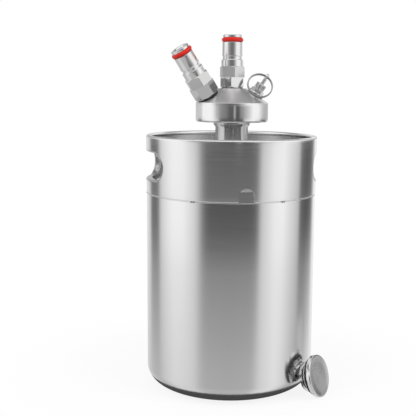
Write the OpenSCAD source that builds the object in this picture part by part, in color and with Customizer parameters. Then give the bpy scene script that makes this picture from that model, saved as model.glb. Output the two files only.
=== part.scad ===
// Five litre stainless mini keg with its tapping head and its storage stopper.
// Origin: centre of the ring that the keg stands on. +Z is up, -Y is the front.
// Azimuths are degrees from +X, counter-clockwise seen from above.

/* [Tank] */
// Outer radius of the tank
tank_r = 85.3; // [75:0.1:110]
// Thickness of the tank's sheet
tank_wall = 1; // [0.8:0.1:1.4]
// Radius of the rounded bottom edge
corner_r = 16.2; // [12:0.2:20]
// Outer radius of the flat ring that the keg stands on
foot_r = 60; // [54:0.5:62]
// Slope of the underside between that ring and the rounded edge
base_slope = 11.5; // [6:0.5:16]
// Height of the seam where the collar begins
seam_z = 197.3; // [150:0.1:320]
// Gap of the groove under the collar's edge
seam_gap = 0.9; // [0.4:0.1:1.5]
// How far the tank wall runs on behind the collar
wall_above_seam = 10; // [6:0.5:13]
// Width of the flat ring that the keg stands on
foot_w = 5.6; // [3:0.2:8]
// Depth of the recess inside that ring
recess_depth = 8; // [4:0.5:14]
// How far the recess narrows over its depth
recess_taper = 5; // [2:0.5:9]

/* [Dome and neck] */
// Radius of the bend between the dome and its skirt
knuckle_r = 12; // [8:0.5:16]
// Height of the dome above its skirt
dome_h = 33; // [28:0.5:38]
// Height of the skirt's top above the seam
skirt_rise = 1; // [0.5:0.1:4]
// Length of the dome's skirt inside the tank
skirt_h = 2.6; // [2:0.1:2.8]
// Outer radius of the neck
neck_r = 16.4; // [16:0.1:20]
// Wall of the neck
neck_wall = 1.1; // [0.8:0.1:1.5]
// How far the neck reaches down through the dome
neck_tail = 4; // [2:0.5:8]
// Height of the neck's lip above the ground
lip_z = 267.5; // [262:0.5:300]
// How far the lip stands out from the neck
lip_flare = 2.4; // [2:0.1:4]
// Thickness of the lip
lip_h = 2.8; // [1.5:0.1:5]
// Leg of the weld bead round the neck
neck_weld = 2.6; // [1:0.1:4]

/* [Collar] */
// How far the collar's lower edge stands proud of the tank
seam_step = 0.25; // [0.1:0.05:1]
// How far the collar's rim stands proud of the tank
collar_step = 0.75; // [0.5:0.05:2]
// Thickness of the collar's sheet
collar_wall = 1; // [0.8:0.1:1.4]
// Height of the rim's top above the ground
rim_z = 254.9; // [250:0.1:290]
// Radius of the rolled rim's section
roll_r = 2.3; // [2:0.1:4]
// Azimuth of the right-hand handle hole
handle_az = 10; // [0:1:20]
// Half of the angle that a handle hole spans
handle_half_angle = 29.7; // [24:0.1:36]
// Height of a handle hole
handle_h = 26.6; // [22:0.1:30]
// Height of a handle hole's middle above the ground
handle_z = 225.4; // [223:0.1:229]
// How far the handle hole's lip turns inwards
handle_lip = 5.5; // [3:0.1:8]
// Azimuth of the drain notch
notch_az = -80.2; // [-100:0.1:-70]
// Width of the drain notch
notch_w = 15.1; // [10:0.1:20]
// Height of the drain notch
notch_h = 13.3; // [11:0.1:20]
// Number of tack welds along the seam
tack_count = 6; // [4:1:10]
// Azimuth of the first tack weld
tack_first_az = -114.8; // [-125:0.1:-105]
// Radius of one weld spot
tack_r = 0.8; // [0.6:0.05:1.1]
// How far a weld spot stands proud
tack_proud = 0.5; // [0.4:0.05:0.8]
// Distance between the two spots of a tack weld
tack_spacing = 2.5; // [2.4:0.1:4]

/* [Head] */
// Radius of the head's disc
disc_r = 36.3; // [36:0.1:45]
// Height of the disc's straight side
disc_h = 19; // [18:0.5:24]
// Gap between the neck's lip and the disc
disc_gap = 0.7; // [0.4:0.1:1.2]
// Rounding of the disc's lower edge
disc_round = 1.8; // [0.5:0.1:3]
// Slope of the head's cone, and tilt of the ports in it
cone_angle = 33.5; // [30:0.5:38]
// Radius of the flat top of the cone
cone_top_r = 15; // [14.5:0.1:17]
// Length of the threaded spigot below the disc
spigot_len = 16; // [14:0.5:22]
// Pitch of the head's thread
thread_pitch = 3; // [2:0.1:3.5]
// Depth of the thread
thread_depth = 1.1; // [0.6:0.1:1.6]
// Radial gap between the spigot and the neck's bore
thread_gap = 0.3; // [0.2:0.05:0.5]
// Radius of the main seal's section
seal_section_r = 1.8; // [1.4:0.1:2.2]
// Height of the main seal once it is squeezed
seal_h = 3; // [2.4:0.1:3.4]
// Radius of the passages that join a side port to the tank
passage_r = 1.4; // [1:0.1:1.6]
// Distance of those passages from the axis under the head
passage_offset = 9; // [8:0.1:10]

/* [Ports] */
// Azimuth of the gas port
gas_az = -155; // [-170:1:-140]
// Distance of the gas port's middle from the disc's edge
gas_inset = 9.8; // [9:0.1:10.2]
// Azimuth of the relief valve
relief_az = -10; // [-30:1:20]
// Distance of the relief valve's middle from the disc's edge
relief_inset = 12.8; // [10:0.1:13.2]
// Radius of an adapter's thread
port_r = 8.3; // [7.5:0.1:8.8]
// Depth of an adapter's thread in the head
port_depth = 8.5; // [6:0.5:10]
// How far a post's flat seat is sunk into the head
port_sink = 1.3; // [1.2:0.1:1.8]
// Height of the squeezed seal under an adapter
port_seal_h = 2; // [1.4:0.1:2.4]
// Radius of the section of the seal under an adapter
port_seal_r = 1.2; // [1.05:0.05:1.3]

/* [Posts] */
// Width across flats of the adapter nut and of the post's hexagon
hex_af = 22.4; // [22:0.1:24]
// Height of the liquid adapter nut
nut_h = 10.3; // [8:0.1:14]
// How much taller the gas adapter nut is
gas_nut_extra = 2.4; // [0:0.1:4]
// Height of the post's hexagon
post_hex_h = 10.7; // [9:0.1:14]
// Radius of the seat ring above the hexagon
seat_r = 10.9; // [10.9:0.05:11.1]
// Height of the seat ring
seat_h = 6.5; // [4:0.1:8]
// Radius at the bottom of the locking groove
lock_r = 9.6; // [9.2:0.1:9.8]
// Height of the locking groove
lock_h = 3.6; // [3:0.1:6]
// Radius of the barrel above the locking groove
barrel_r = 10.05; // [9.9:0.05:10.3]
// Height of the barrel
barrel_h = 13.6; // [10:0.1:16]
// Radius of the section of the post's outer seal ring
ring_section_r = 2.2; // [1.8:0.1:2.2]
// Outer radius of that seal ring
ring_outer_r = 10.8; // [10.6:0.05:10.85]
// Height of the flange at the post's top
crown_h = 2.7; // [2:0.1:4]
// Radius of the flange at the post's top
crown_r = 9.4; // [8.6:0.1:9.8]
// Radius of the post's mouth
mouth_r = 4.3; // [3.9:0.1:4.8]
// Radius of the chamber inside the post
chamber_r = 6.4; // [5.8:0.1:6.6]
// Thickness of the wall between the chamber and the post's top
post_top_wall = 10.5; // [9:0.1:11]
// Wall of the adapter's spigot outside the chamber's width
spigot_step = 1.55; // [1.2:0.05:1.6]
// Height of that spigot above the adapter nut
spigot_h = 8.5; // [7:0.1:10]
// Bore through the adapter
adapter_bore_r = 2.8; // [2:0.1:3.2]
// Turn of the liquid adapter nut
liquid_nut_turn = -94; // [-120:1:-60]
// Turn of the liquid post's hexagon
liquid_hex_turn = -78; // [-120:1:-60]
// Turn of the gas adapter nut
gas_nut_turn = 39; // [0:1:60]
// Turn of the gas post's hexagon
gas_hex_turn = 18; // [0:1:60]

/* [Poppets] */
// Radius of the poppet's pin
pin_r = 3; // [2.4:0.1:3.3]
// How far the pin's tip lies below the post's top
pin_drop = 0.6; // [0.3:0.1:1.5]
// Radius of the poppet's flange
flange_r = 5.5; // [5:0.1:5.6]
// Thickness of the poppet's flange
flange_h = 2.2; // [1.5:0.1:3]
// Thickness of the seal on the flange
poppet_seal_h = 2; // [1.5:0.1:2.6]
// Radius of the poppet's tail
tail_r = 1.6; // [1.2:0.1:2.2]
// Length of the poppet's tail
tail_len = 8; // [5:0.5:9]
// Wire radius of the poppet's spring
poppet_wire_r = 0.45; // [0.3:0.05:0.5]
// Turns of the poppet's spring
poppet_turns = 7; // [5:1:8]

/* [Relief valve] */
// Radius of the valve's thread
relief_thread_r = 5; // [4.6:0.1:5.4]
// Depth of the valve's thread in the head
relief_depth = 7; // [6:0.5:7.5]
// How far the valve's flat seat is sunk into the cone
relief_sink = 0.9; // [0.9:0.1:1.2]
// Radius of the valve's flange
relief_flange_r = 8.4; // [8:0.1:9]
// Thickness of the flange
relief_flange_h = 2.4; // [1.6:0.1:3]
// Thickness of the washer under the flange
relief_washer_h = 1.2; // [0.8:0.1:1.6]
// Width across flats of the valve's hexagon
relief_hex_af = 12; // [11.4:0.1:14]
// Height of the valve's hexagon
relief_hex_h = 3; // [2.6:0.1:4]
// Radius of the knurled cap
cap_r = 5.3; // [5.1:0.1:6]
// Height of the knurled cap
cap_h = 6.4; // [5:0.1:8]
// Number of grooves round the cap
cap_grooves = 18; // [12:1:24]
// Radius of the pull stem
stem_r = 1.8; // [1.5:0.1:1.9]
// Height of the eye above the valve's seat plane
eye_h = 21.5; // [21.3:0.1:23]
// Outer radius of the eye
eye_r = 3.1; // [3:0.1:3.6]
// Thickness of the eye
eye_w = 2.6; // [2:0.1:3]
// Wire radius of the relief spring
relief_wire_r = 0.35; // [0.25:0.05:0.4]
// Turns of the relief spring
relief_turns = 7; // [5:1:8]
// Radius from the ring's centre to its wire
ring_r = 12.3; // [11:0.1:12.5]
// Wire radius of the pull ring
ring_wire_r = 0.65; // [0.5:0.05:0.7]
// Distance between the two turns of the pull ring
ring_pitch = 1.75; // [1.72:0.01:1.8]
// Lean of the hanging ring away from the stem
ring_lean = 33.5; // [33:0.5:36]

/* [Dip tube] */
// Bore radius of the silicone tube
tube_bore_r = 3; // [2.5:0.1:3.2]
// Wall of the silicone tube
tube_wall = 1.5; // [1:0.1:2]
// How far the barb's ridges stretch the tube
barb_stretch = 0.45; // [0.4:0.05:0.8]
// Height of the barb's ridges above its shank
ridge_step = 0.35; // [0.2:0.05:0.4]
// Distance from one ridge to the next
ridge_pitch = 4; // [3.5:0.1:4.5]
// Wall of the barb's shank
shank_wall = 0.9; // [0.7:0.05:1.1]
// Length of the barb below the head
barb_len = 20; // [17:0.5:26]
// Length of the barb inside the head
barb_pocket = 8; // [5:0.5:12]
// Gap between the tube's lower end and the tank's floor
tube_floor_gap = 3.5; // [2:0.5:10]

/* [Stopper] */
// Radius of the stopper's disc
stopper_r = 20.9; // [20:0.1:26]
// Thickness of the stopper's disc
stopper_h = 4.4; // [3:0.1:6]
// Rounding of the disc's rim
stopper_round = 1.2; // [0.6:0.1:1.5]
// Length of the plug below the disc
plug_len = 10.5; // [10:0.1:16]
// Wall of the hollow plug
plug_wall = 3; // [2:0.1:4]
// Azimuth at which the stopper leans on the keg
stopper_az = -30.2; // [-50:0.1:-20]
// Angle by which its face looks up
stopper_tilt = 15.6; // [8:0.1:20]
// Gap between the plug's edge and the tank that it leans on
stopper_gap = 0.3; // [0.2:0.05:0.6]

/* [Hidden] */
$fn = 96;

// Clearance between pieces that are screwed or pressed together
fit = 0.05;
// Gap between a closed valve's seal and its seat
closed_gap = 0.1;
// Gap round parts that move past each other
play = 0.3;
// Overlap of cutting bodies past the faces that they cut
cut = 1;

rim_wall_z = seam_z + wall_above_seam;
wall_top_r = tank_r - collar_wall;
dome_r = wall_top_r - tank_wall;
foot_in = foot_r - foot_w;
floor_z = recess_depth + tank_wall;
corner_x = tank_r - corner_r;
corner_z = corner_r / cos(base_slope) + (corner_x - foot_r) * tan(base_slope);

skirt_z = seam_z + skirt_rise;
crown_round = (pow(dome_r - knuckle_r, 2) + pow(dome_h, 2) - pow(knuckle_r, 2)) / (2 * (dome_h - knuckle_r));
crown_z = skirt_z + dome_h - crown_round;
function dome_top(r) = crown_z + sqrt(pow(crown_round, 2) - pow(r, 2));

collar_r = tank_r + collar_step;
roll_z = rim_z - roll_r;
function collar_side_r(z) =
    tank_r + seam_step + (collar_step - seam_step) * (z - seam_z) / (roll_z - seam_z);
handle_half_w = collar_r * sin(handle_half_angle);

neck_bore_r = neck_r - neck_wall;
lip_r = neck_r + lip_flare;
thread_r = neck_bore_r - thread_gap;
seal_mid_r = (neck_bore_r + lip_r) / 2;
disc_z = lip_z + disc_gap;
cone_z = disc_z + disc_h;
function cone_surface_z(r) = cone_z + (disc_r - r) * tan(cone_angle);
head_top_z = cone_surface_z(cone_top_r);
spigot_z = disc_z - spigot_len;
gas_pitch_r = disc_r - gas_inset;
relief_pitch_r = disc_r - relief_inset;
port_bore_r = port_r + fit;
port_seal_mid_r = port_bore_r + fit + port_seal_r;
port_seat_r = port_seal_mid_r + port_seal_r + play;

nut_z = port_seal_h;
post_z = nut_z + nut_h;
seat_z = post_z + post_hex_h;
lock_z = seat_z + seat_h;
barrel_z = lock_z + lock_h;
ring_groove_z = barrel_z + barrel_h;
crown_base_z = ring_groove_z + 2 * ring_section_r;
post_top_z = crown_base_z + crown_h;
ring_mid_r = ring_outer_r - ring_section_r;
chamber_top_z = post_top_z - post_top_wall;
adapter_spigot_r = chamber_r + spigot_step;
spring_seat_z = post_z + spigot_h;
poppet_seal_top = chamber_top_z - closed_gap;
flange_top = poppet_seal_top - poppet_seal_h;
flange_base = flange_top - flange_h;
poppet_spring_inset = 0.6;
poppet_spring_r = flange_r - poppet_spring_inset - poppet_wire_r;

relief_bore_r = relief_thread_r + fit;
relief_hex_z = relief_washer_h + relief_flange_h;
cap_z = relief_hex_z + relief_hex_h;
cap_top_z = cap_z + cap_h;
cap_shoulder = 0.9;
cap_spigot_r = cap_r - cap_shoulder;
cap_spigot_wall = 1;
cap_top_wall = 1.5;
relief_seat_wall = 2.8;
relief_seat_z = relief_seat_wall - relief_depth;
relief_chamber_r = cap_spigot_r - cap_spigot_wall;
stem_gap = 0.4;
stem_seal_h = 1.3;
stem_foot_h = 1.2;
stem_foot_r = relief_chamber_r - stem_gap;
stem_seal_z = relief_seat_z + closed_gap;
stem_foot_z = stem_seal_z + stem_seal_h;
relief_spring_z = stem_foot_z + stem_foot_h;
relief_spring_top = cap_top_z - cap_top_wall;
relief_spring_gap = 0.25;
relief_spring_r = relief_chamber_r - relief_spring_gap - relief_wire_r;
ring_play = 0.2;
eye_bore_r = ring_pitch / 2 + ring_wire_r + ring_play;

barb_r = tube_bore_r + barb_stretch;
shank_r = barb_r - ridge_step;
barb_bore_r = shank_r - shank_wall;
barb_z = spigot_z - barb_len;
tube_top_gap = 3;
tube_top_z = spigot_z - tube_top_gap;
tube_swell_len = 5;
tube_bottom_z = floor_z + tube_floor_gap;

stopper_origin_z = (stopper_r - stopper_round) * cos(stopper_tilt)
    - stopper_round * sin(stopper_tilt) + stopper_round;
plug_edge_r = thread_r - thread_depth;
stopper_origin_r = tank_r + stopper_gap + plug_len * cos(stopper_tilt) + plug_edge_r * sin(stopper_tilt);

// Colours
brushed = "silver";
polished = "gainsboro";
blasted = "darkgray";
satin = "gray";
seal_red = "firebrick";
seal_black = "black";
silicone = "whitesmoke";

// Points and faces of a round tube swept along a list of points, closed at both ends
function unit(v) = v / norm(v);
function heading(path, i) = unit(path[min(i + 1, len(path) - 1)] - path[max(i - 1, 0)]);
function tube_points(path, r, sides, up) = [
    for (i = [0 : len(path) - 1])
        let (t = heading(path, i), side = unit(cross(up, t)), top = cross(t, side))
        for (k = [0 : sides - 1])
            path[i] + r * (cos(360 * k / sides) * side + sin(360 * k / sides) * top)
];
function tube_faces(rings, sides) = concat(
    [for (k = [1 : sides - 2]) [0, k, k + 1]],
    [for (k = [1 : sides - 2]) [(rings - 1) * sides, (rings - 1) * sides + k + 1, (rings - 1) * sides + k]],
    [
        for (i = [0 : rings - 2], k = [0 : sides - 1])
            let (a = i * sides + k, b = i * sides + (k + 1) % sides)
            each [[a, a + sides, b], [b, a + sides, b + sides]]
    ]
);
module swept_tube(path, r, sides, up) {
    polyhedron(tube_points(path, r, sides, up), tube_faces(len(path), sides));
}

// Least distance between turns of a coil, from the points of one turn to the next
function least_gap(path, per_turn, r) =
    min([for (i = [0 : len(path) - 1 - per_turn]) norm(path[i] - path[i + per_turn])]) - 2 * r;

// Coil spring along +Z from z = 0 to z = height
spring_steps = 14;
module coil_spring(mid_r, wire_r, height, turns) {
    steps = turns * spring_steps;
    end_z = 1.2 * wire_r;
    path = [
        for (i = [0 : steps])
            let (a = 360 * i / spring_steps)
            [mid_r * cos(a), mid_r * sin(a), end_z + (height - 2 * end_z) * i / steps]
    ];
    echo(spring_gap = least_gap(path, spring_steps, wire_r));
    swept_tube(path, wire_r, 6, [0, 0, 1]);
}

// Half-profile of the tank up to a height, moved in by a sheet's thickness
module can_profile(sheet, top) {
    corner = corner_r - sheet;
    polygon([
        [0, sheet], [foot_r - sheet * tan(base_slope / 2), sheet],
        [corner_x + corner * sin(base_slope), corner_z - corner * cos(base_slope)],
        [corner_x, corner_z], [corner_x + corner, corner_z], [corner_x + corner, top], [0, top]
    ]);
    translate([corner_x, corner_z]) circle(corner);
}

// Half-profile of the recess under the tank, moved out by a sheet's thickness
module recess_profile(sheet) {
    side = sheet * sqrt(1 + pow(recess_taper / recess_depth, 2));
    base = foot_in + side + recess_taper * (cut - sheet) / recess_depth;
    polygon([
        [0, sheet - cut], [base, sheet - cut],
        [foot_in - recess_taper + side, recess_depth + sheet], [0, recess_depth + sheet]
    ]);
}

// Half-profile of everything under the dome from the neck outwards, moved in by a sheet
module dome_profile(sheet, bottom) {
    knuckle_x = dome_r - knuckle_r;
    reach = crown_round + cut;
    out = unit([knuckle_x, skirt_z - crown_z]);
    outside = [out[0] * reach, crown_z + out[1] * reach];
    translate([neck_r, bottom]) square([dome_r - sheet - neck_r, skirt_z - bottom]);
    intersection() {
        translate([knuckle_x, skirt_z]) circle(knuckle_r - sheet);
        polygon([[knuckle_x, skirt_z], [tank_r, skirt_z], [tank_r, outside[1]], outside]);
    }
    intersection() {
        translate([0, crown_z]) circle(crown_round - sheet, $fn = 360);
        polygon([
            [neck_r, skirt_z], [knuckle_x, skirt_z], outside,
            [outside[0], crown_z + reach], [neck_r, crown_z + reach]
        ]);
    }
}

module lower_shell() {
    color(brushed) rotate_extrude() difference() {
        union() {
            can_profile(0, seam_z - seam_gap);
            translate([0, corner_z]) square([wall_top_r, rim_wall_z - corner_z]);
        }
        can_profile(tank_wall, seam_z - seam_gap - tank_wall);
        translate([0, corner_z]) square([dome_r, rim_wall_z - corner_z + cut]);
        translate([0, -tank_wall]) square([foot_in, tank_wall]);
        recess_profile(0);
    }
    color(brushed) rotate_extrude() difference() {
        recess_profile(tank_wall);
        recess_profile(0);
    }
}

module top_dome() {
    color(brushed) rotate_extrude() difference() {
        dome_profile(0, skirt_z - skirt_h);
        dome_profile(tank_wall, skirt_z - skirt_h - cut);
    }
}

module neck() {
    bottom_z = dome_top(neck_r) - neck_tail;
    weld_z = dome_top(neck_r + neck_weld) - cut;
    weld_toe = 0.3;
    bevel = 0.4;
    color(brushed) rotate_extrude() polygon([
        [neck_bore_r, bottom_z], [neck_r, bottom_z], [neck_r, lip_z - lip_h - lip_flare / 2],
        [lip_r, lip_z - lip_h + lip_flare / 2], [lip_r, lip_z - bevel], [lip_r - bevel, lip_z],
        [neck_bore_r + bevel, lip_z], [neck_bore_r, lip_z - bevel]
    ]);
    color(brushed) difference() {
        rotate_extrude() polygon([
            [neck_r, weld_z], [neck_r + neck_weld, weld_z],
            [neck_r + neck_weld, weld_z + cut + weld_toe], [neck_r, dome_top(neck_r) + neck_weld]
        ]);
        rotate_extrude() dome_profile(0, skirt_z - cut);
    }
}

// Outline of a handle hole, standing in the YZ plane and running out along +X
module handle_prism(grow, from, to) {
    end_r = handle_h / 2;
    straight = handle_half_w - end_r;
    translate([from, 0, handle_z]) rotate([90, 0, 90]) linear_extrude(to - from) {
        square([2 * straight, 2 * (end_r + grow)], center = true);
        for (side = [-1, 1]) translate([side * straight, 0]) circle(end_r + grow);
    }
}

module at_handles() {
    for (az = [handle_az, handle_az + 180]) rotate([0, 0, az]) children();
}

module collar_profile() {
    bevel = 0.4;
    polygon([
        [wall_top_r, seam_z], [collar_side_r(seam_z) - bevel, seam_z],
        [collar_side_r(seam_z), seam_z + bevel], [collar_r, roll_z], [collar_r - collar_wall, roll_z],
        [collar_side_r(rim_wall_z) - collar_wall, rim_wall_z], [wall_top_r, rim_wall_z]
    ]);
    translate([collar_r - roll_r, roll_z]) difference() {
        circle(roll_r);
        circle(roll_r - collar_wall);
        translate([0, -roll_r - cut]) square([roll_r + cut, roll_r + cut]);
    }
}

module collar() {
    inner = collar_r - collar_wall - handle_lip;
    color(brushed) difference() {
        rotate_extrude() collar_profile();
        at_handles() handle_prism(0, tank_r / 2, collar_r + cut);
        rotate([0, 0, notch_az]) {
            translate([tank_r / 2, -notch_w / 2, seam_z - cut])
                cube([tank_r, notch_w, notch_h - notch_w / 2 + cut]);
            translate([tank_r / 2, 0, seam_z + notch_h - notch_w / 2])
                rotate([0, 90, 0]) cylinder(r = notch_w / 2, h = tank_r);
        }
    }
    color(brushed) at_handles() intersection() {
        difference() {
            handle_prism(collar_wall, tank_r / 2, collar_r);
            handle_prism(0, tank_r / 2 - cut, collar_r + cut);
        }
        rotate_extrude() translate([inner, handle_z - handle_h])
            square([collar_r - collar_wall / 2 - inner, 2 * handle_h]);
    }
}

module tack_welds() {
    spread = asin(tack_spacing / (2 * tank_r));
    spot_top = 0.6 * tack_r;
    spot_edge = 0.3 * tack_proud;
    spot_root = 0.005;
    spot_lap = 0.1;
    color(satin) for (i = [0 : tack_count - 1], side = [-1, 1])
        rotate([0, 0, tack_first_az + 360 * i / tack_count + side * spread])
            translate([tank_r, 0, seam_z + spot_lap - tack_r]) rotate([0, 90, 0]) rotate_extrude() polygon([
                [0, -spot_root], [tack_r, -spot_root], [tack_r, spot_edge],
                [spot_top, tack_proud], [0, tack_proud]
            ]);
}

// Stack of rounded-off thread ridges, top at z = 0 and running down
module thread_rings(r, len) {
    count = floor(len / thread_pitch);
    land = thread_pitch / 8;
    slope = thread_pitch * 3 / 8;
    root = r - thread_depth;
    rotate_extrude() polygon(concat(
        [[0, 0], [root, 0]],
        [
            for (i = [0 : count - 1])
                let (z = -i * thread_pitch)
                each [[root, z - land], [r, z - land - slope], [r, z - 2 * land - slope],
                      [root, z - 2 * land - 2 * slope]]
        ],
        [[root, -len], [0, -len]]
    ));
}

// Places a part whose seat plane is z = 0 on the cone
module on_cone(az, pitch_r, sink) {
    rotate([0, 0, az]) translate([pitch_r, 0, cone_surface_z(pitch_r)])
        rotate([0, cone_angle, 0]) translate([0, 0, -sink]) children();
}
module at_liquid() {
    translate([0, 0, head_top_z - port_sink]) children();
}
module at_gas() {
    on_cone(gas_az, gas_pitch_r, port_sink) children();
}
module at_gas_post() {
    at_gas() translate([0, 0, gas_nut_extra]) children();
}
module at_relief() {
    on_cone(relief_az, relief_pitch_r, relief_sink) children();
}

// Bores of one port: seat pocket, threaded bore and the way on to the tank
module port_cut(seat_radius, bore_r, depth, pitch_r) {
    cylinder(r = seat_radius, h = disc_r);
    translate([0, 0, -depth - cut]) cylinder(r = bore_r, h = depth + 2 * cut);
    way = (pitch_r - passage_offset) / sin(cone_angle);
    translate([0, 0, -way]) cylinder(r = passage_r, h = way);
}
module down_passage(az, pitch_r) {
    top = cone_surface_z(pitch_r) - (pitch_r - passage_offset) / tan(cone_angle);
    rotate([0, 0, az]) translate([passage_offset, 0, spigot_z - cut])
        cylinder(r = passage_r, h = top - spigot_z + 2 * cut);
}

module head_body() {
    relief_cut_r = relief_flange_r + play;
    groove_w = seal_section_r + play;
    color(satin) difference() {
        union() {
            rotate_extrude() difference() {
                union() {
                    translate([0, disc_z]) square([disc_r - disc_round, disc_h]);
                    translate([0, disc_z + disc_round]) square([disc_r, disc_h - disc_round]);
                    translate([disc_r - disc_round, disc_z + disc_round]) circle(disc_round);
                    polygon([[0, cone_z], [disc_r, cone_z], [cone_top_r, head_top_z], [0, head_top_z]]);
                }
                translate([seal_mid_r - groove_w, disc_z - cut])
                    square([2 * groove_w, lip_z + seal_h - disc_z + cut]);
            }
            translate([0, 0, disc_z]) thread_rings(thread_r, spigot_len);
        }
        at_liquid() cylinder(r = port_seat_r, h = disc_r);
        at_liquid() translate([0, 0, -port_depth - cut]) cylinder(r = port_bore_r, h = port_depth + 2 * cut);
        translate([0, 0, spigot_z - cut]) cylinder(r = barb_bore_r, h = head_top_z - spigot_z);
        translate([0, 0, spigot_z - cut]) cylinder(r = shank_r + fit, h = barb_pocket + cut);
        at_gas() port_cut(port_seat_r, port_bore_r, port_depth, gas_pitch_r);
        at_relief() port_cut(relief_cut_r, relief_bore_r, relief_depth, relief_pitch_r);
        down_passage(gas_az, gas_pitch_r);
        down_passage(relief_az, relief_pitch_r);
    }
}

// Seal ring with its section squeezed flat between two faces
module squeezed_ring(mid_r, section_r, height) {
    rotate_extrude() intersection() {
        translate([mid_r, height / 2]) circle(section_r, $fn = 48);
        translate([mid_r - section_r, 0]) square([2 * section_r, height]);
    }
}

module head_seal() {
    color(seal_black) translate([0, 0, lip_z]) squeezed_ring(seal_mid_r, seal_section_r, seal_h);
}

module dip_tube_barb() {
    top = spigot_z + barb_pocket - fit;
    ramp = 0.65 * ridge_pitch;
    back = 0.75 * ridge_pitch;
    color(polished) rotate_extrude() difference() {
        union() {
            translate([0, barb_z]) square([shank_r, top - barb_z]);
            for (i = [0 : 3]) translate([0, barb_z + ridge_pitch * i])
                polygon([[0, 0], [shank_r, 0], [barb_r, ramp], [shank_r, back], [0, back]]);
        }
        translate([0, barb_z - cut]) square([barb_bore_r, top + 2 * cut - barb_z]);
    }
}

module dip_tube() {
    swell = barb_stretch + fit;
    bore_r = tube_bore_r;
    outer_r = tube_bore_r + tube_wall;
    top = tube_top_z;
    swell_z = barb_z - cut;
    color(silicone) rotate_extrude() polygon([
        [bore_r, tube_bottom_z], [outer_r, tube_bottom_z], [outer_r, swell_z - tube_swell_len],
        [outer_r + swell, swell_z], [outer_r + swell, top], [bore_r + swell, top],
        [bore_r + swell, swell_z], [bore_r, swell_z - tube_swell_len]
    ]);
}

module hexagon(af, height) {
    cylinder(r = af / (2 * cos(30)), h = height, $fn = 6);
}

// Hexagonal prism with its corners turned down at the ends
module turned_hexagon(af, height, low, high) {
    corner = af / (2 * cos(30));
    flat = af / 2;
    turned = 0.96 * (corner - flat);
    intersection() {
        hexagon(af, height);
        rotate_extrude() polygon([
            [0, 0], [low ? flat : corner + cut, 0], [corner + cut, low ? turned : 0],
            [corner + cut, high ? height - turned : height], [high ? flat : corner + cut, height],
            [0, height]
        ]);
    }
}

module adapter(turn, extra) {
    top = post_z + extra;
    difference() {
        union() {
            translate([0, 0, nut_z]) rotate(turn) turned_hexagon(hex_af, nut_h + extra, true, false);
            translate([0, 0, -port_depth]) cylinder(r = port_r, h = port_depth + nut_z + cut);
            translate([0, 0, top - cut]) cylinder(r = adapter_spigot_r, h = spigot_h + cut);
        }
        translate([0, 0, -port_depth - cut])
            cylinder(r = adapter_bore_r, h = port_depth + top + spigot_h + 2 * cut);
    }
}

module adapter_seal() {
    squeezed_ring(port_seal_mid_r, port_seal_r, port_seal_h);
}

module post(turn) {
    bevel = 0.6;
    shoulder = 0.25;
    mouth_flare = 2.2;
    groove_r = ring_mid_r - ring_section_r;
    difference() {
        union() {
            translate([0, 0, post_z]) rotate(turn) turned_hexagon(hex_af, post_hex_h, false, true);
            rotate_extrude() polygon([
                [0, seat_z - cut], [seat_r, seat_z - cut], [seat_r, lock_z],
                [lock_r, lock_z + bevel], [lock_r, barrel_z - bevel],
                [barrel_r + shoulder, barrel_z + bevel], [barrel_r, barrel_z + 4 * bevel],
                [barrel_r, ring_groove_z - bevel], [barrel_r - bevel, ring_groove_z],
                [groove_r, ring_groove_z], [groove_r, crown_base_z], [crown_r, crown_base_z],
                [crown_r, post_top_z - bevel], [crown_r - bevel, post_top_z], [0, post_top_z]
            ]);
        }
        translate([0, 0, post_z - cut]) cylinder(r = adapter_spigot_r + fit, h = spigot_h + fit + cut);
        translate([0, 0, post_z]) cylinder(r = chamber_r, h = chamber_top_z - post_z);
        translate([0, 0, post_z]) cylinder(r = mouth_r, h = post_top_z - post_z + cut);
        translate([0, 0, post_top_z - mouth_flare + fit])
            cylinder(r1 = mouth_r, r2 = mouth_r + mouth_flare, h = mouth_flare);
    }
}

module post_ring() {
    translate([0, 0, ring_groove_z + ring_section_r])
        rotate_extrude() translate([ring_mid_r, 0]) circle(ring_section_r - fit / 2, $fn = 48);
}

module poppet() {
    bevel = 0.5;
    rotate_extrude() polygon([
        [0, flange_base - tail_len], [tail_r - bevel, flange_base - tail_len],
        [tail_r, flange_base - tail_len + bevel], [tail_r, flange_base], [flange_r, flange_base],
        [flange_r, flange_top], [pin_r, flange_top], [pin_r, post_top_z - pin_drop - bevel],
        [pin_r - bevel, post_top_z - pin_drop], [0, post_top_z - pin_drop]
    ]);
}

module poppet_seal() {
    translate([0, 0, flange_top]) difference() {
        cylinder(r = flange_r, h = poppet_seal_h);
        translate([0, 0, -cut]) cylinder(r = pin_r, h = poppet_seal_h + 2 * cut);
    }
}

module poppet_spring() {
    translate([0, 0, spring_seat_z])
        coil_spring(poppet_spring_r, poppet_wire_r, flange_base - spring_seat_z, poppet_turns);
}

module liquid_adapter() { color(polished) at_liquid() adapter(liquid_nut_turn, 0); }
module liquid_adapter_seal() { color(seal_black) at_liquid() adapter_seal(); }
module liquid_post() { color(blasted) at_liquid() post(liquid_hex_turn); }
module liquid_post_ring() { color(seal_red) at_liquid() post_ring(); }
module liquid_poppet() { color(polished) at_liquid() poppet(); }
module liquid_poppet_seal() { color(seal_black) at_liquid() poppet_seal(); }
module liquid_poppet_spring() { color(polished) at_liquid() poppet_spring(); }

module gas_adapter() { color(polished) at_gas() adapter(gas_nut_turn, gas_nut_extra); }
module gas_adapter_seal() { color(seal_black) at_gas() adapter_seal(); }
module gas_post() { color(blasted) at_gas_post() post(gas_hex_turn); }
module gas_post_ring() { color(seal_red) at_gas_post() post_ring(); }
module gas_poppet() { color(polished) at_gas_post() poppet(); }
module gas_poppet_seal() { color(seal_black) at_gas_post() poppet_seal(); }
module gas_poppet_spring() { color(polished) at_gas_post() poppet_spring(); }

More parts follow.
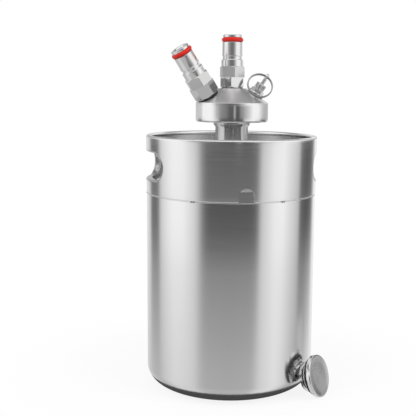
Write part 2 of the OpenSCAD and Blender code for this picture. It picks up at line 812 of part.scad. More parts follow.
module relief_body() {
    color(polished) at_relief() difference() {
        union() {
            translate([0, 0, -relief_depth]) cylinder(r = relief_thread_r, h = relief_hex_z + relief_depth);
            translate([0, 0, relief_washer_h]) cylinder(r = relief_flange_r, h = relief_flange_h);
            translate([0, 0, relief_hex_z]) hexagon(relief_hex_af, relief_hex_h);
        }
        translate([0, 0, relief_seat_z]) cylinder(r = relief_chamber_r, h = cap_z - relief_seat_z);
        translate([0, 0, relief_hex_z]) cylinder(r = cap_spigot_r + fit, h = relief_hex_h + cut);
        translate([0, 0, -relief_depth - cut]) cylinder(r = passage_r, h = relief_depth);
    }
}

module relief_washer() {
    inset = 0.8;
    color(seal_black) at_relief() difference() {
        cylinder(r = relief_flange_r - inset, h = relief_washer_h);
        translate([0, 0, -cut]) cylinder(r = relief_bore_r + fit, h = relief_washer_h + 2 * cut);
    }
}

module relief_cap() {
    bevel = 0.8;
    bore_gap = 0.15;
    bore_r = stem_r + bore_gap;
    knurl_r = 0.5;
    knurl_out = 0.1;
    color(polished) at_relief() difference() {
        rotate_extrude() polygon([
            [bore_r, cap_top_z], [cap_r - bevel, cap_top_z], [cap_r, cap_top_z - bevel], [cap_r, cap_z],
            [cap_spigot_r, cap_z], [cap_spigot_r, relief_hex_z + fit],
            [relief_chamber_r, relief_hex_z + fit], [relief_chamber_r, relief_spring_top],
            [bore_r, relief_spring_top]
        ]);
        for (i = [0 : cap_grooves - 1]) rotate(360 * i / cap_grooves)
            translate([cap_r + knurl_out, 0, cap_z + bevel]) cylinder(r = knurl_r, h = cap_h);
    }
}

module relief_stem() {
    color(polished) at_relief() difference() {
        union() {
            translate([0, 0, stem_foot_z]) cylinder(r = stem_foot_r, h = stem_foot_h);
            translate([0, 0, stem_foot_z]) cylinder(r = stem_r, h = eye_h - stem_foot_z - eye_bore_r);
            translate([-eye_w / 2, 0, eye_h]) rotate([0, 90, 0]) cylinder(r = eye_r, h = eye_w);
        }
        translate([-eye_w, 0, eye_h]) rotate([0, 90, 0]) cylinder(r = eye_bore_r, h = 2 * eye_w);
    }
}

module relief_stem_seal() {
    color(seal_black) at_relief() translate([0, 0, stem_seal_z]) cylinder(r = stem_foot_r, h = stem_seal_h);
}

module relief_spring() {
    color(polished) at_relief() translate([0, 0, relief_spring_z])
        coil_spring(relief_spring_r, relief_wire_r, relief_spring_top - relief_spring_z, relief_turns);
}

// Split ring of two turns through the eye, hanging down in front of the valve
ring_steps = 32;
module pull_ring() {
    first = 12;
    steps = 2 * ring_steps;
    path = [
        for (i = [0 : steps])
            let (t = i / steps, a = first + (720 - 2 * first) * t)
            [ring_r * sin(a), -ring_pitch * (2 * t - 1), -ring_r * cos(a)]
    ];
    echo(pull_ring_gap = least_gap(path, ring_steps, ring_wire_r));
    color(polished) at_relief() translate([0, 0, eye_h])
        rotate([-ring_lean, 0, 0]) translate([0, 0, -ring_r]) swept_tube(path, ring_wire_r, 6, [0, 1, 0]);
}

module at_stopper() {
    rotate([0, 0, stopper_az]) translate([stopper_origin_r, 0, stopper_origin_z])
        rotate([0, 90 - stopper_tilt, 0]) children();
}

module stopper() {
    hollow_r = plug_edge_r - plug_wall;
    color(polished) at_stopper() difference() {
        union() {
            rotate_extrude() {
                square([stopper_r - stopper_round, stopper_h]);
                translate([0, stopper_round]) square([stopper_r, stopper_h - 2 * stopper_round]);
                for (z = [stopper_round, stopper_h - stopper_round])
                    translate([stopper_r - stopper_round, z]) circle(stopper_round);
            }
            thread_rings(thread_r, plug_len);
        }
        translate([0, 0, -plug_len - cut]) cylinder(r = hollow_r, h = plug_len - plug_wall + cut);
    }
}

module stopper_seal() {
    color(seal_black) at_stopper() translate([0, 0, -2 * seal_section_r - fit])
        rotate_extrude() translate([thread_r + seal_section_r + fit, seal_section_r])
            circle(seal_section_r, $fn = 48);
}

lower_shell();
top_dome();
neck();
collar();
tack_welds();
head_body();
head_seal();
dip_tube_barb();
dip_tube();
liquid_adapter();
liquid_adapter_seal();
liquid_post();
liquid_post_ring();
liquid_poppet();
liquid_poppet_seal();
liquid_poppet_spring();
gas_adapter();
gas_adapter_seal();
gas_post();
gas_post_ring();
gas_poppet();
gas_poppet_seal();
gas_poppet_spring();
relief_body();
relief_washer();
relief_cap();
relief_stem();
relief_stem_seal();
relief_spring();
pull_ring();
stopper();
stopper_seal();
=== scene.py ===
import math

import bmesh
import bpy
import numpy as np
from mathutils import Matrix, Vector


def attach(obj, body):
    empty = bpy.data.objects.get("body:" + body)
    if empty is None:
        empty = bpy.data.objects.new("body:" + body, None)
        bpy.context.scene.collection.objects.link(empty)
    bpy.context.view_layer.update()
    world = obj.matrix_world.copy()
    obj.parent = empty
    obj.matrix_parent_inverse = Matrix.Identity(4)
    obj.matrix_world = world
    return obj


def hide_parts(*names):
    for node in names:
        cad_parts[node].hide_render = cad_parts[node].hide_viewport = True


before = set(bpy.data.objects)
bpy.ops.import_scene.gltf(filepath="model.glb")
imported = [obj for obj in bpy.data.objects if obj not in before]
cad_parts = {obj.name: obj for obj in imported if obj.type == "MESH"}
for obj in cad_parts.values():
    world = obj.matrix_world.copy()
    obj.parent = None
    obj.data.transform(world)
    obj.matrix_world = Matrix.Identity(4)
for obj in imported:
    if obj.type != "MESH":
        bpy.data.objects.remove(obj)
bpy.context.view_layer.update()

MM = 0.001
scene = bpy.context.scene
scene.view_settings.view_transform = "Standard"

# Camera, from the photograph's own view: focal length and shift in pixels of the picture
PICTURE_PX, FOCAL_PX, SHIFT_PX, SENSOR = 416.0, 807.0, -22.8, 36.0
CAMERA_AT, CAMERA_DOWN, CAMERA_ROLL = (0.0, -0.8175, 0.3025), 8.52, 0.62
cam_data = bpy.data.cameras.new("camera")
cam_data.sensor_width = SENSOR
cam_data.lens = FOCAL_PX / PICTURE_PX * SENSOR
cam_data.shift_x = SHIFT_PX / PICTURE_PX
cam_data.clip_start, cam_data.clip_end = 0.05, 50.0
camera = bpy.data.objects.new("camera", cam_data)
scene.collection.objects.link(camera)
camera.matrix_world = (
    Matrix.Translation(CAMERA_AT)
    @ Matrix.Rotation(math.radians(90.0 - CAMERA_DOWN), 4, "X")
    @ Matrix.Rotation(math.radians(CAMERA_ROLL), 4, "Z")
)
scene.camera = camera


# Sizes in mm and degrees, as in the solids
WALL = 1.0
TANK_R, SEAM_Z, RIM_WALL_Z = 85.3, 197.3, 207.3
CORNER, FOOT_R, FOOT_IN, BASE_SLOPE = 16.2, 60.0, 54.4, math.radians(11.5)
RECESS_Z, RECESS_R, RECESS_ROUND = 8.0, 48.6, 0.8
COLLAR_R, COLLAR_LOW_R, RIM_Z, ROLL_R = 86.05, 85.55, 254.9, 2.3
HANDLE_Z, HANDLE_H, HANDLE_AZ, HANDLE_HALF_ANGLE = 225.4, 26.6, 10.0, 29.7
HANDLE_HALF = COLLAR_R * math.sin(math.radians(HANDLE_HALF_ANGLE))
LIP_BEND, LIP_DEPTH = 1.9, 5.5
NOTCH_AZ, NOTCH_W, NOTCH_H = -80.2, 15.1, 13.3
DOME_R, KNUCKLE_R, DOME_H, SKIRT_Z = 83.3, 12.0, 33.0, 198.3
NECK_R, NECK_BORE_R, LIP_Z, LIP_R, LIP_H = 16.4, 15.3, 267.5, 18.8, 2.8
TACK_AZ, TACK_COUNT, TACK_R, TACK_PROUD, TACK_SPACING, TACK_DROP = -114.8, 6, 0.8, 0.48, 2.5, 0.7
DISC_R, DISC_Z, DISC_H, CONE, CONE_TOP_R = 36.3, 268.2, 19.0, math.radians(33.5), 15.0
CONE_Z = DISC_Z + DISC_H
HEAD_TOP_Z = CONE_Z + (DISC_R - CONE_TOP_R) * math.tan(CONE)
THREAD_R, THREAD_D, PITCH = 15.0, 1.1, 3.0
HEX_AF, NUT_Z, POST_Z, SEAT_Z, LOCK_Z = 22.4, 2.0, 12.3, 23.0, 29.5
GAS_NUT_EXTRA = 2.4
BARREL_Z, RING_Z, CROWN_Z, TOP_Z = 33.1, 46.7, 51.1, 53.8
PORT_SINK, RELIEF_SINK, PORT_SEAT_R, RELIEF_SEAT_R = 1.3, 0.9, 11.1, 8.7
PORT_BORE_R, PORT_DEPTH, RELIEF_BORE_R, RELIEF_DEPTH, GAS_WAY_R, GAS_WAY_AT = 8.35, 8.5, 5.05, 7, 1.4, 9
GAS_AZ, GAS_AT_R, RELIEF_AZ, RELIEF_AT_R = -155.0, 26.5, -10.0, 23.5


def turn_z(degrees):
    return Matrix.Rotation(math.radians(degrees), 4, "Z")


def shift(x, y, z):
    return Matrix.Translation(Vector((x, y, z)) * MM)


def cone_surface_z(r):
    return CONE_Z + (DISC_R - r) * math.tan(CONE)


def port_frame(az, pitch_r, sink):
    return (
        turn_z(az) @ shift(pitch_r, 0, cone_surface_z(pitch_r))
        @ Matrix.Rotation(CONE, 4, "Y") @ shift(0, 0, -sink)
    )


AT_LIQUID = shift(0, 0, HEAD_TOP_Z - PORT_SINK)
AT_GAS = port_frame(GAS_AZ, GAS_AT_R, PORT_SINK)
AT_GAS_POST = AT_GAS @ shift(0, 0, GAS_NUT_EXTRA)
AT_RELIEF = port_frame(RELIEF_AZ, RELIEF_AT_R, RELIEF_SINK)

STOPPER_AZ, STOPPER_TILT, STOPPER_GAP = -30.2, math.radians(15.6), 0.3
STOPPER_R, STOPPER_ROUND, PLUG_LEN, PLUG_EDGE_R = 20.9, 1.2, 10.5, THREAD_R - THREAD_D
STOPPER_OZ = (
    (STOPPER_R - STOPPER_ROUND) * math.cos(STOPPER_TILT)
    - STOPPER_ROUND * math.sin(STOPPER_TILT) + STOPPER_ROUND
)
STOPPER_OR = TANK_R + STOPPER_GAP + PLUG_LEN * math.cos(STOPPER_TILT) + PLUG_EDGE_R * math.sin(STOPPER_TILT)
AT_STOPPER = (
    turn_z(STOPPER_AZ) @ shift(STOPPER_OR, 0, STOPPER_OZ)
    @ Matrix.Rotation(math.pi / 2 - STOPPER_TILT, 4, "Y")
)
OUTWARD = Matrix(((0, 0, 1, 0), (1, 0, 0, 0), (0, 1, 0, 0), (0, 0, 0, 1)))


# Materials
def new_material(name):
    mat = bpy.data.materials.new(name)
    mat.use_nodes = True
    nt = mat.node_tree
    return mat, nt, nt.nodes["Principled BSDF"]


def node(nt, kind, **values):
    n = nt.nodes.new(kind)
    for key, value in values.items():
        setattr(n, key, value)
    return n


def math_node(nt, op, a, b=None):
    n = node(nt, "ShaderNodeMath", operation=op)
    for i, v in enumerate([a, b]):
        if v is None:
            continue
        if isinstance(v, (int, float)):
            n.inputs[i].default_value = v
        else:
            nt.links.new(v, n.inputs[i])
    return n.outputs[0]


def noise(nt, vector, scale, detail):
    n = node(nt, "ShaderNodeTexNoise")
    n.inputs["Scale"].default_value = scale
    n.inputs["Detail"].default_value = detail
    nt.links.new(vector, n.inputs["Vector"])
    return n.outputs[0]


def rescale(nt, value, low, high, from_low=0.0, from_high=1.0, kind="LINEAR"):
    """The value carried over from one range to another."""
    m = node(nt, "ShaderNodeMapRange", interpolation_type=kind)
    ends = (("From Min", from_low), ("From Max", from_high), ("To Min", low), ("To Max", high))
    for key, end in ends:
        m.inputs[key].default_value = end
    nt.links.new(value, m.inputs[0])
    return m.outputs[0]


def tone(nt, fac, colour, darkest, lightest):
    """The colour between two shares of itself."""
    m = node(nt, "ShaderNodeMix", data_type="RGBA")
    m.inputs[6].default_value = (*[c * darkest for c in colour], 1)
    m.inputs[7].default_value = (*[min(1.0, c * lightest) for c in colour], 1)
    nt.links.new(fac, m.inputs[0])
    return m.outputs[2]


def dents(nt, height, strength, depth):
    b = node(nt, "ShaderNodeBump")
    b.inputs["Strength"].default_value = strength
    b.inputs["Distance"].default_value = depth
    nt.links.new(height, b.inputs["Height"])
    return b.outputs[0]


def blend(nt, a, share_a, b, share_b):
    return math_node(nt, "ADD", math_node(nt, "MULTIPLY", a, share_a), math_node(nt, "MULTIPLY", b, share_b))


def surface(nt, bsdf, colour, rough, normal):
    nt.links.new(rough, bsdf.inputs["Roughness"])
    nt.links.new(colour, bsdf.inputs["Base Color"])
    nt.links.new(normal, bsdf.inputs["Normal"])


def round_coords(nt, across, along):
    """Object coordinates unrolled round Z: angle times across, height and radius times along."""
    tc = node(nt, "ShaderNodeTexCoord")
    xyz = node(nt, "ShaderNodeSeparateXYZ")
    nt.links.new(tc.outputs["Object"], xyz.inputs[0])
    x, y, z = xyz.outputs
    angle = math_node(nt, "ARCTAN2", y, x)
    square = math_node(nt, "ADD", math_node(nt, "MULTIPLY", x, x), math_node(nt, "MULTIPLY", y, y))
    c = node(nt, "ShaderNodeCombineXYZ")
    nt.links.new(math_node(nt, "MULTIPLY", angle, across), c.inputs[0])
    nt.links.new(math_node(nt, "MULTIPLY", z, along), c.inputs[1])
    nt.links.new(math_node(nt, "MULTIPLY", math_node(nt, "SQRT", square), along), c.inputs[2])
    return c.outputs[0], tc.outputs["Object"]


RING_SHARE, CLOUD_SHARE, CLOUD_SCALE, RING_DEPTH = 0.4, 0.6, 9.0, 0.0002
BEAD_GRAIN, BEAD_CLOUD, BEAD_BUMP, BEAD_SPREAD, BEAD_TONES = 1800.0, 60.0, 0.25, 0.06, (0.88, 1.1)
RUBBER_GRAIN, RUBBER_BUMP, RUBBER_SPREAD, RUBBER_TONES = 700.0, 0.08, 0.08, (0.85, 1.12)
GRAIN_DEPTH = 0.0001


def metal(name, grey, rough, aniso=0.0, streak=0.03, tint=0.03, bump=0.02, across=2.0, along=900.0):
    """Stainless steel worked round its axis: fine rings in roughness and height, a slow cloudy tone."""
    mat, nt, bsdf = new_material(name)
    bsdf.inputs["Metallic"].default_value = 1.0
    bsdf.inputs["Anisotropic"].default_value = aniso
    bsdf.inputs["Anisotropic Rotation"].default_value = 0.25
    if aniso:
        tangent = node(nt, "ShaderNodeTangent", direction_type="RADIAL", axis="Z")
        nt.links.new(tangent.outputs[0], bsdf.inputs["Tangent"])
    unrolled, plain = round_coords(nt, across, along)
    rings = noise(nt, unrolled, 1.0, 2.0)
    cloud = noise(nt, plain, CLOUD_SCALE, 3.0)
    fac = blend(nt, rings, RING_SHARE, cloud, CLOUD_SHARE)
    surface(
        nt, bsdf, tone(nt, fac, grey, 1 - tint, 1 + tint),
        rescale(nt, rings, rough - streak, rough + streak, 0.25, 0.75), dents(nt, rings, bump, RING_DEPTH),
    )
    return mat


def blasted(name, colour, rough):
    """Steel blasted with fine beads: an even grain of small dents."""
    mat, nt, bsdf = new_material(name)
    bsdf.inputs["Metallic"].default_value = 1.0
    coords = node(nt, "ShaderNodeTexCoord").outputs["Object"]
    fine = noise(nt, coords, BEAD_GRAIN, 2.0)
    soft = noise(nt, coords, BEAD_CLOUD, 2.0)
    surface(
        nt, bsdf, tone(nt, blend(nt, fine, 0.5, soft, 0.5), colour, *BEAD_TONES),
        rescale(nt, soft, rough - BEAD_SPREAD, rough + BEAD_SPREAD), dents(nt, fine, BEAD_BUMP, GRAIN_DEPTH),
    )
    return mat


def rubber(name, colour, rough, specular=0.5):
    mat, nt, bsdf = new_material(name)
    bsdf.inputs["Specular IOR Level"].default_value = specular
    grain = noise(nt, node(nt, "ShaderNodeTexCoord").outputs["Object"], RUBBER_GRAIN, 3.0)
    surface(
        nt, bsdf, tone(nt, grain, colour, *RUBBER_TONES),
        rescale(nt, grain, rough - RUBBER_SPREAD, rough + RUBBER_SPREAD),
        dents(nt, grain, RUBBER_BUMP, GRAIN_DEPTH),
    )
    return mat


SHEET = metal("brushed_sheet_steel", (0.88, 0.88, 0.88), 0.19, aniso=0.65, streak=0.015, bump=0.007)
# Inside the collar and the handle holes: a duller finish, and a darker grey that is painted shade
INNER_SHADED = metal("dull_inner_steel_painted_shade", (0.62, 0.62, 0.62), 0.28, aniso=0.4, tint=0.05, bump=0.015)
EDGE = metal("cut_sheet_edge", (0.92, 0.92, 0.92), 0.55, streak=0.05, tint=0.04, bump=0.03)
SLEEVE = metal("turned_post_steel", (0.86, 0.86, 0.86), 0.14, aniso=0.4, streak=0.02, along=2000.0)
SATIN = metal(
    "satin_turned_steel", (0.88, 0.88, 0.88), 0.12, aniso=0.6, streak=0.02, bump=0.008, along=2600.0)
CONE_FACE = metal("turned_cone_steel", (0.80, 0.80, 0.805), 0.33, aniso=0.5, tint=0.04, along=2600.0)
POLISHED = metal("polished_turned_steel", (0.82, 0.82, 0.825), 0.13, aniso=0.4, along=2200.0)
TURNED_FACE = metal(
    "turned_face_steel", (0.76, 0.76, 0.765), 0.24, aniso=0.82, streak=0.05, tint=0.05, bump=0.06,
    along=1600.0)
BLASTED = blasted("blasted_steel", (0.80, 0.80, 0.795), 0.40)
WELD = metal(
    "weld_steel", (0.34, 0.34, 0.345), 0.3, streak=0.06, tint=0.08, bump=0.15, across=60.0, along=300.0)
WIRE = metal("drawn_wire", (0.42, 0.42, 0.425), 0.16, streak=0.04, tint=0.05, bump=0.03)
RED = rubber("red_silicone_rubber", (0.78, 0.022, 0.010), 0.38, specular=0.35)
BLACK = rubber("black_rubber", (0.022, 0.022, 0.023), 0.42)
SILICONE = rubber("clear_silicone_rubber", (0.80, 0.81, 0.82), 0.3)


# Mesh tools
def arc(cx, cz, r, a0, a1, n):
    """Points on an arc in a half-profile, from a0 to a1 degrees, n steps."""
    turns = [math.radians(a0 + (a1 - a0) * i / n) for i in range(n + 1)]
    return [(cx + r * math.cos(a), cz + r * math.sin(a)) for a in turns]


def circle(r, n, start=0.0):
    """Corners of a regular polygon round the origin, from the start angle in degrees."""
    turns = [math.radians(start) + 2 * math.pi * k / n for k in range(n)]
    return [(r * math.cos(a), r * math.sin(a)) for a in turns]


def at_angle(bm, r, a, z):
    """New vertex at radius r, angle a and height z, in mm."""
    return bm.verts.new((r * math.cos(a) * MM, r * math.sin(a) * MM, z * MM))


def to_mesh(bm, name):
    bmesh.ops.recalc_face_normals(bm, faces=bm.faces)
    mesh = bpy.data.meshes.new(name)
    bm.to_mesh(mesh)
    bm.free()
    return mesh


def add_object(name, mesh, mat, place=None):
    obj = bpy.data.objects.new(name, mesh)
    scene.collection.objects.link(obj)
    if mat is not None:
        mesh.materials.append(mat)
    if place is not None:
        obj.matrix_world = place
    return obj


SAME_POINT, ON_AXIS = 1e-4, 1e-6


def tidy_profile(profile):
    """The profile without points that repeat the one before."""
    out = []
    for p in profile:
        if not out or math.dist(p, out[-1]) > SAME_POINT:
            out.append(p)
    if math.dist(out[0], out[-1]) < SAME_POINT:
        out.pop()
    return out


def revolve_mesh(name, profile, segs, shape=None):
    """Solid of revolution from a closed half-profile in mm; shape(angle, r, z) may move each point."""
    pts = tidy_profile(profile)
    bm = bmesh.new()
    rings = []
    for r, z in pts:
        if r < ON_AXIS:
            rings.append([bm.verts.new((0, 0, z * MM))] * segs)
            continue
        ring = []
        for k in range(segs):
            a = 2 * math.pi * k / segs
            moved = (r, z) if shape is None else shape(a, r, z)
            ring.append(at_angle(bm, moved[0], a, moved[1]))
        rings.append(ring)
    n = len(rings)
    for i in range(n):
        a, b = rings[i], rings[(i + 1) % n]
        for k in range(segs):
            quad = [a[k], a[(k + 1) % segs], b[(k + 1) % segs], b[k]]
            face = []
            for v in quad:
                if v not in face:
                    face.append(v)
            if len(face) >= 3:
                bm.faces.new(face)
    return to_mesh(bm, name)


def cut(mesh, tools, operation="DIFFERENCE"):
    """The mesh with each tool mesh taken away, or with only what lies inside the tool."""
    base = bpy.data.objects.new("cut_base", mesh)
    scene.collection.objects.link(base)
    extra = []
    for t in tools:
        o = bpy.data.objects.new("cut_tool", t)
        scene.collection.objects.link(o)
        o.hide_render = True
        extra.append(o)
        m = base.modifiers.new("cut", "BOOLEAN")
        m.operation = operation
        m.solver = "EXACT"
        m.object = o
    dg = bpy.context.evaluated_depsgraph_get()
    out = bpy.data.meshes.new_from_object(base.evaluated_get(dg))
    out.name = mesh.name + "_cut"
    for o in [base, *extra]:
        bpy.data.objects.remove(o)
    return out


SOFT_TURN, NEAR_PROFILE, SAME_WAY, ROUND_AXIS, NEAR_AXIS = 40.0, 0.12, 0.97, 0.12, 1.0


def profile_normals(mesh, profile):
    """Exact normals for faces that lie on the turned profile; all other faces stay flat."""
    pts = np.array(tidy_profile(profile))
    seg = np.roll(pts, -1, 0) - pts
    length = np.linalg.norm(seg, axis=1)
    nrm = np.stack([seg[:, 1], -seg[:, 0]], 1) / length[:, None]
    before = np.roll(nrm, 1, 0)
    turn = np.degrees(np.arccos(np.clip((nrm * before).sum(1), -1, 1)))
    mean = nrm + before
    mean /= np.maximum(np.linalg.norm(mean, axis=1), 1e-9)[:, None]
    start = np.where((turn < SOFT_TURN)[:, None], mean, nrm)
    end = np.where((np.roll(turn, -1) < SOFT_TURN)[:, None], np.roll(mean, -1, 0), nrm)
    co = np.array([v.co for v in mesh.vertices]) / MM
    normals = np.zeros((len(mesh.loops), 3))
    for p in mesh.polygons:
        p.use_smooth = True
        c = np.array(p.center) / MM
        pn = np.array(p.normal)
        rc = math.hypot(c[0], c[1])
        radial = np.array([c[0], c[1]]) / max(rc, 1e-9)
        pr = float(pn[0] * radial[0] + pn[1] * radial[1])
        tang = float(-pn[0] * radial[1] + pn[1] * radial[0])
        hit = None
        if abs(tang) < ROUND_AXIS or rc < NEAR_AXIS:
            centre = np.array([rc, c[2]])
            t = np.clip(((centre - pts) * seg).sum(1) / length**2, 0, 1)
            d = np.linalg.norm(pts + seg * t[:, None] - centre, axis=1)
            same = np.abs(nrm[:, 0] * pr + nrm[:, 1] * pn[2])
            ok = (d < NEAR_PROFILE) & (same > SAME_WAY)
            if ok.any():
                hit = int(np.argmin(np.where(ok, d, 1e9)))
        for li in p.loop_indices:
            if hit is None:
                normals[li] = pn
                continue
            v = co[mesh.loops[li].vertex_index]
            rv = math.hypot(v[0], v[1])
            t = ((np.array([rv, v[2]]) - pts[hit]) * seg[hit]).sum() / length[hit] ** 2
            t = min(max(t, 0.0), 1.0)
            q = start[hit] * (1 - t) + end[hit] * t
            q = q / np.linalg.norm(q)
            sign = 1.0 if nrm[hit][0] * pr + nrm[hit][1] * pn[2] > 0 else -1.0
            rad = np.array([v[0], v[1]]) / rv if rv > ON_AXIS else radial
            normals[li] = (sign * q[0] * rad[0], sign * q[0] * rad[1], sign * q[1])
    mesh.normals_split_custom_set([tuple(v) for v in normals])
    return mesh


def smooth_by_angle(mesh, degrees=35.0):
    for p in mesh.polygons:
        p.use_smooth = True
    mesh.set_sharp_from_angle(angle=math.radians(degrees))
    return mesh


def turned(name, profile, mat, place=None, segs=192, tools=None, shape=None):
    mesh = revolve_mesh(name, profile, segs, shape)
    if tools:
        mesh = cut(mesh, tools)
    if shape is None:
        profile_normals(mesh, profile)
    else:
        smooth_by_angle(mesh)
    mesh.name = name
    return add_object(name, mesh, mat, place)


def prism_mesh(name, outline, z0, z1, place=None):
    """Straight prism over a closed 2-D outline in mm, between z0 and z1."""
    bm = bmesh.new()
    low = [bm.verts.new((x * MM, y * MM, z0 * MM)) for x, y in outline]
    high = [bm.verts.new((x * MM, y * MM, z1 * MM)) for x, y in outline]
    bm.faces.new(low[::-1])
    bm.faces.new(high)
    n = len(outline)
    for i in range(n):
        j = (i + 1) % n
        bm.faces.new([low[i], low[j], high[j], high[i]])
    mesh = to_mesh(bm, name)
    if place is not None:
        mesh.transform(place)
    return mesh


def tube_mesh(name, path, radius, sides, up):
    """Round tube along an open list of points in mm, closed flat at both ends."""
    bm = bmesh.new()
    rings = []
    last = len(path) - 1
    turns = [2 * math.pi * k / sides for k in range(sides)]
    for i, p in enumerate(path):
        t = (path[min(i + 1, last)] - path[max(i - 1, 0)]).normalized()
        side = up.cross(t).normalized()
        top = t.cross(side)
        rings.append([
            bm.verts.new((p + radius * (math.cos(a) * side + math.sin(a) * top)) * MM) for a in turns
        ])
    for a, b in zip(rings, rings[1:]):
        for k in range(sides):
            bm.faces.new([a[k], a[(k + 1) % sides], b[(k + 1) % sides], b[k]])
    bm.faces.new(rings[0][::-1])
    bm.faces.new(rings[-1])
    return smooth_by_angle(to_mesh(bm, name), 50)


def join_meshes(name, meshes):
    """One mesh of several, keeping each one's own normals."""
    objs = []
    for m in meshes:
        o = bpy.data.objects.new("join_part", m)
        scene.collection.objects.link(o)
        objs.append(o)
    chosen = {"active_object": objs[0], "selected_objects": objs, "selected_editable_objects": objs}
    with bpy.context.temp_override(**chosen):
        bpy.ops.object.join()
    mesh = objs[0].data
    mesh.name = name
    bpy.data.objects.remove(objs[0])
    return mesh


def finish_piece(obj, body, slot, *nodes):
    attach(obj, body)
    if nodes:
        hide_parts(*nodes)
    return obj


END_STEPS, LONG_STEP, SHORT_STEP = 24, 6, 3


def stadium(grow):
    """Outline of a handle hole in (tangential, height), counter-clockwise."""
    r = HANDLE_H / 2 + grow
    s = HANDLE_HALF - HANDLE_H / 2
    pts = [(s + x, z) for x, z in arc(0, 0, r, -90, 90, END_STEPS)]
    pts += [(-s + x, z) for x, z in arc(0, 0, r, 90, 270, END_STEPS)]
    flat = []
    for i, p in enumerate(pts):
        q = pts[(i + 1) % len(pts)]
        flat.append(p)
        gap = math.dist(p, q)
        if gap > LONG_STEP:
            m = int(gap / SHORT_STEP)
            flat += [(p[0] + (q[0] - p[0]) * k / m, p[1] + (q[1] - p[1]) * k / m) for k in range(1, m)]
    return flat


# Tank
corner_x = TANK_R - CORNER
corner_z = CORNER / math.cos(BASE_SLOPE) + (corner_x - FOOT_R) * math.tan(BASE_SLOPE)
base_a = math.degrees(BASE_SLOPE) - 90
wall_r, inner_r, top_edge = TANK_R - WALL, TANK_R - 2 * WALL, 0.2
shell_profile = (
    [(0, RECESS_Z), (RECESS_R, RECESS_Z)]
    + arc(RECESS_R, RECESS_Z - RECESS_ROUND, RECESS_ROUND, 90, 32, 4)[1:]
    + [(FOOT_IN - 0.5, 1.2)] + arc(FOOT_IN + 0.6, 0.7, 0.7, 212, 270, 4)
    + [(FOOT_R - 0.5, 0), (FOOT_R + 0.5, 0.1)]
    + arc(corner_x, corner_z, CORNER, base_a, 0, 40)
    + [(TANK_R, 60), (TANK_R, 130)]
    + arc(TANK_R - 0.5, SEAM_Z - 1.1, 0.5, 0, 90, 6)
    + [(wall_r, SEAM_Z - 0.6), (wall_r, RIM_WALL_Z - top_edge), (wall_r - top_edge, RIM_WALL_Z)]
    + [(inner_r + top_edge, RIM_WALL_Z), (inner_r, RIM_WALL_Z - top_edge), (inner_r, SEAM_Z - 2)]
    + [(wall_r, SEAM_Z - 3)]
    + arc(corner_x, corner_z, CORNER - WALL, 0, base_a, 32)
    + [(FOOT_R - 0.1, WALL), (FOOT_IN + 1.6, WALL)]
    + [(RECESS_R + 2 * WALL, RECESS_Z + WALL), (0, RECESS_Z + WALL)]
)
tank = turned("tank_shell", shell_profile, SHEET, segs=360)
finish_piece(tank, "keg", "brushed_sheet", "lower_shell")

crown_round = ((DOME_R - KNUCKLE_R) ** 2 + DOME_H**2 - KNUCKLE_R**2) / (2 * (DOME_H - KNUCKLE_R))
crown_z = SKIRT_Z + DOME_H - crown_round
join_a = math.degrees(math.atan2(SKIRT_Z - crown_z, DOME_R - KNUCKLE_R))
hole_out = math.degrees(math.acos(NECK_R / crown_round))
hole_in = math.degrees(math.acos(NECK_R / (crown_round - WALL)))
knuckle_x, skirt_end = DOME_R - KNUCKLE_R, SKIRT_Z - 2.6
dome_profile = (
    [(DOME_R, skirt_end)] + arc(knuckle_x, SKIRT_Z, KNUCKLE_R, 0, join_a, 20)
    + arc(0, crown_z, crown_round, join_a, hole_out, 24)
    + arc(0, crown_z, crown_round - WALL, hole_in, join_a, 24)
    + arc(knuckle_x, SKIRT_Z, KNUCKLE_R - WALL, join_a, 0, 20) + [(DOME_R - WALL, skirt_end)]
)
dome = turned("tank_dome", dome_profile, SHEET, segs=256)
finish_piece(dome, "keg", "brushed_sheet", "top_dome")

dome_at_neck = crown_z + math.sqrt(crown_round**2 - NECK_R**2)
flare = LIP_R - NECK_R
weld_r = 2.6
weld_low = crown_z + math.sqrt(crown_round**2 - (NECK_R + weld_r) ** 2)
weld_round = weld_r + 1.3
lip_under = LIP_Z - LIP_H
neck_profile = (
    [(NECK_BORE_R, dome_at_neck - 4), (NECK_R, dome_at_neck - 4), (NECK_R, dome_at_neck - 0.3)]
    + [(NECK_R + weld_r, weld_low + 0.02)]
    + arc(NECK_R + weld_round, dome_at_neck + weld_r + 1.6, weld_round, 250, 180, 8)
    + [(NECK_R, dome_at_neck + weld_r), (NECK_R, lip_under - flare / 2 - 0.6)]
    + [(LIP_R - 0.3, lip_under + flare / 2 - 0.4)]
    + arc(LIP_R - 0.5, LIP_Z - 0.5, 0.5, 0, 90, 4) + arc(NECK_BORE_R + 0.4, LIP_Z - 0.4, 0.4, 90, 180, 4)
)
neck = turned("filling_neck", neck_profile, POLISHED, segs=160)
finish_piece(neck, "keg", "brushed_sheet", "neck")

# Collar
roll_z, roll_x = RIM_Z - ROLL_R, COLLAR_R - ROLL_R
low_edge, short_edge = 0.6, 0.15


def collar_side_r(z):
    return COLLAR_LOW_R + (COLLAR_R - COLLAR_LOW_R) * (z - SEAM_Z) / (roll_z - SEAM_Z)


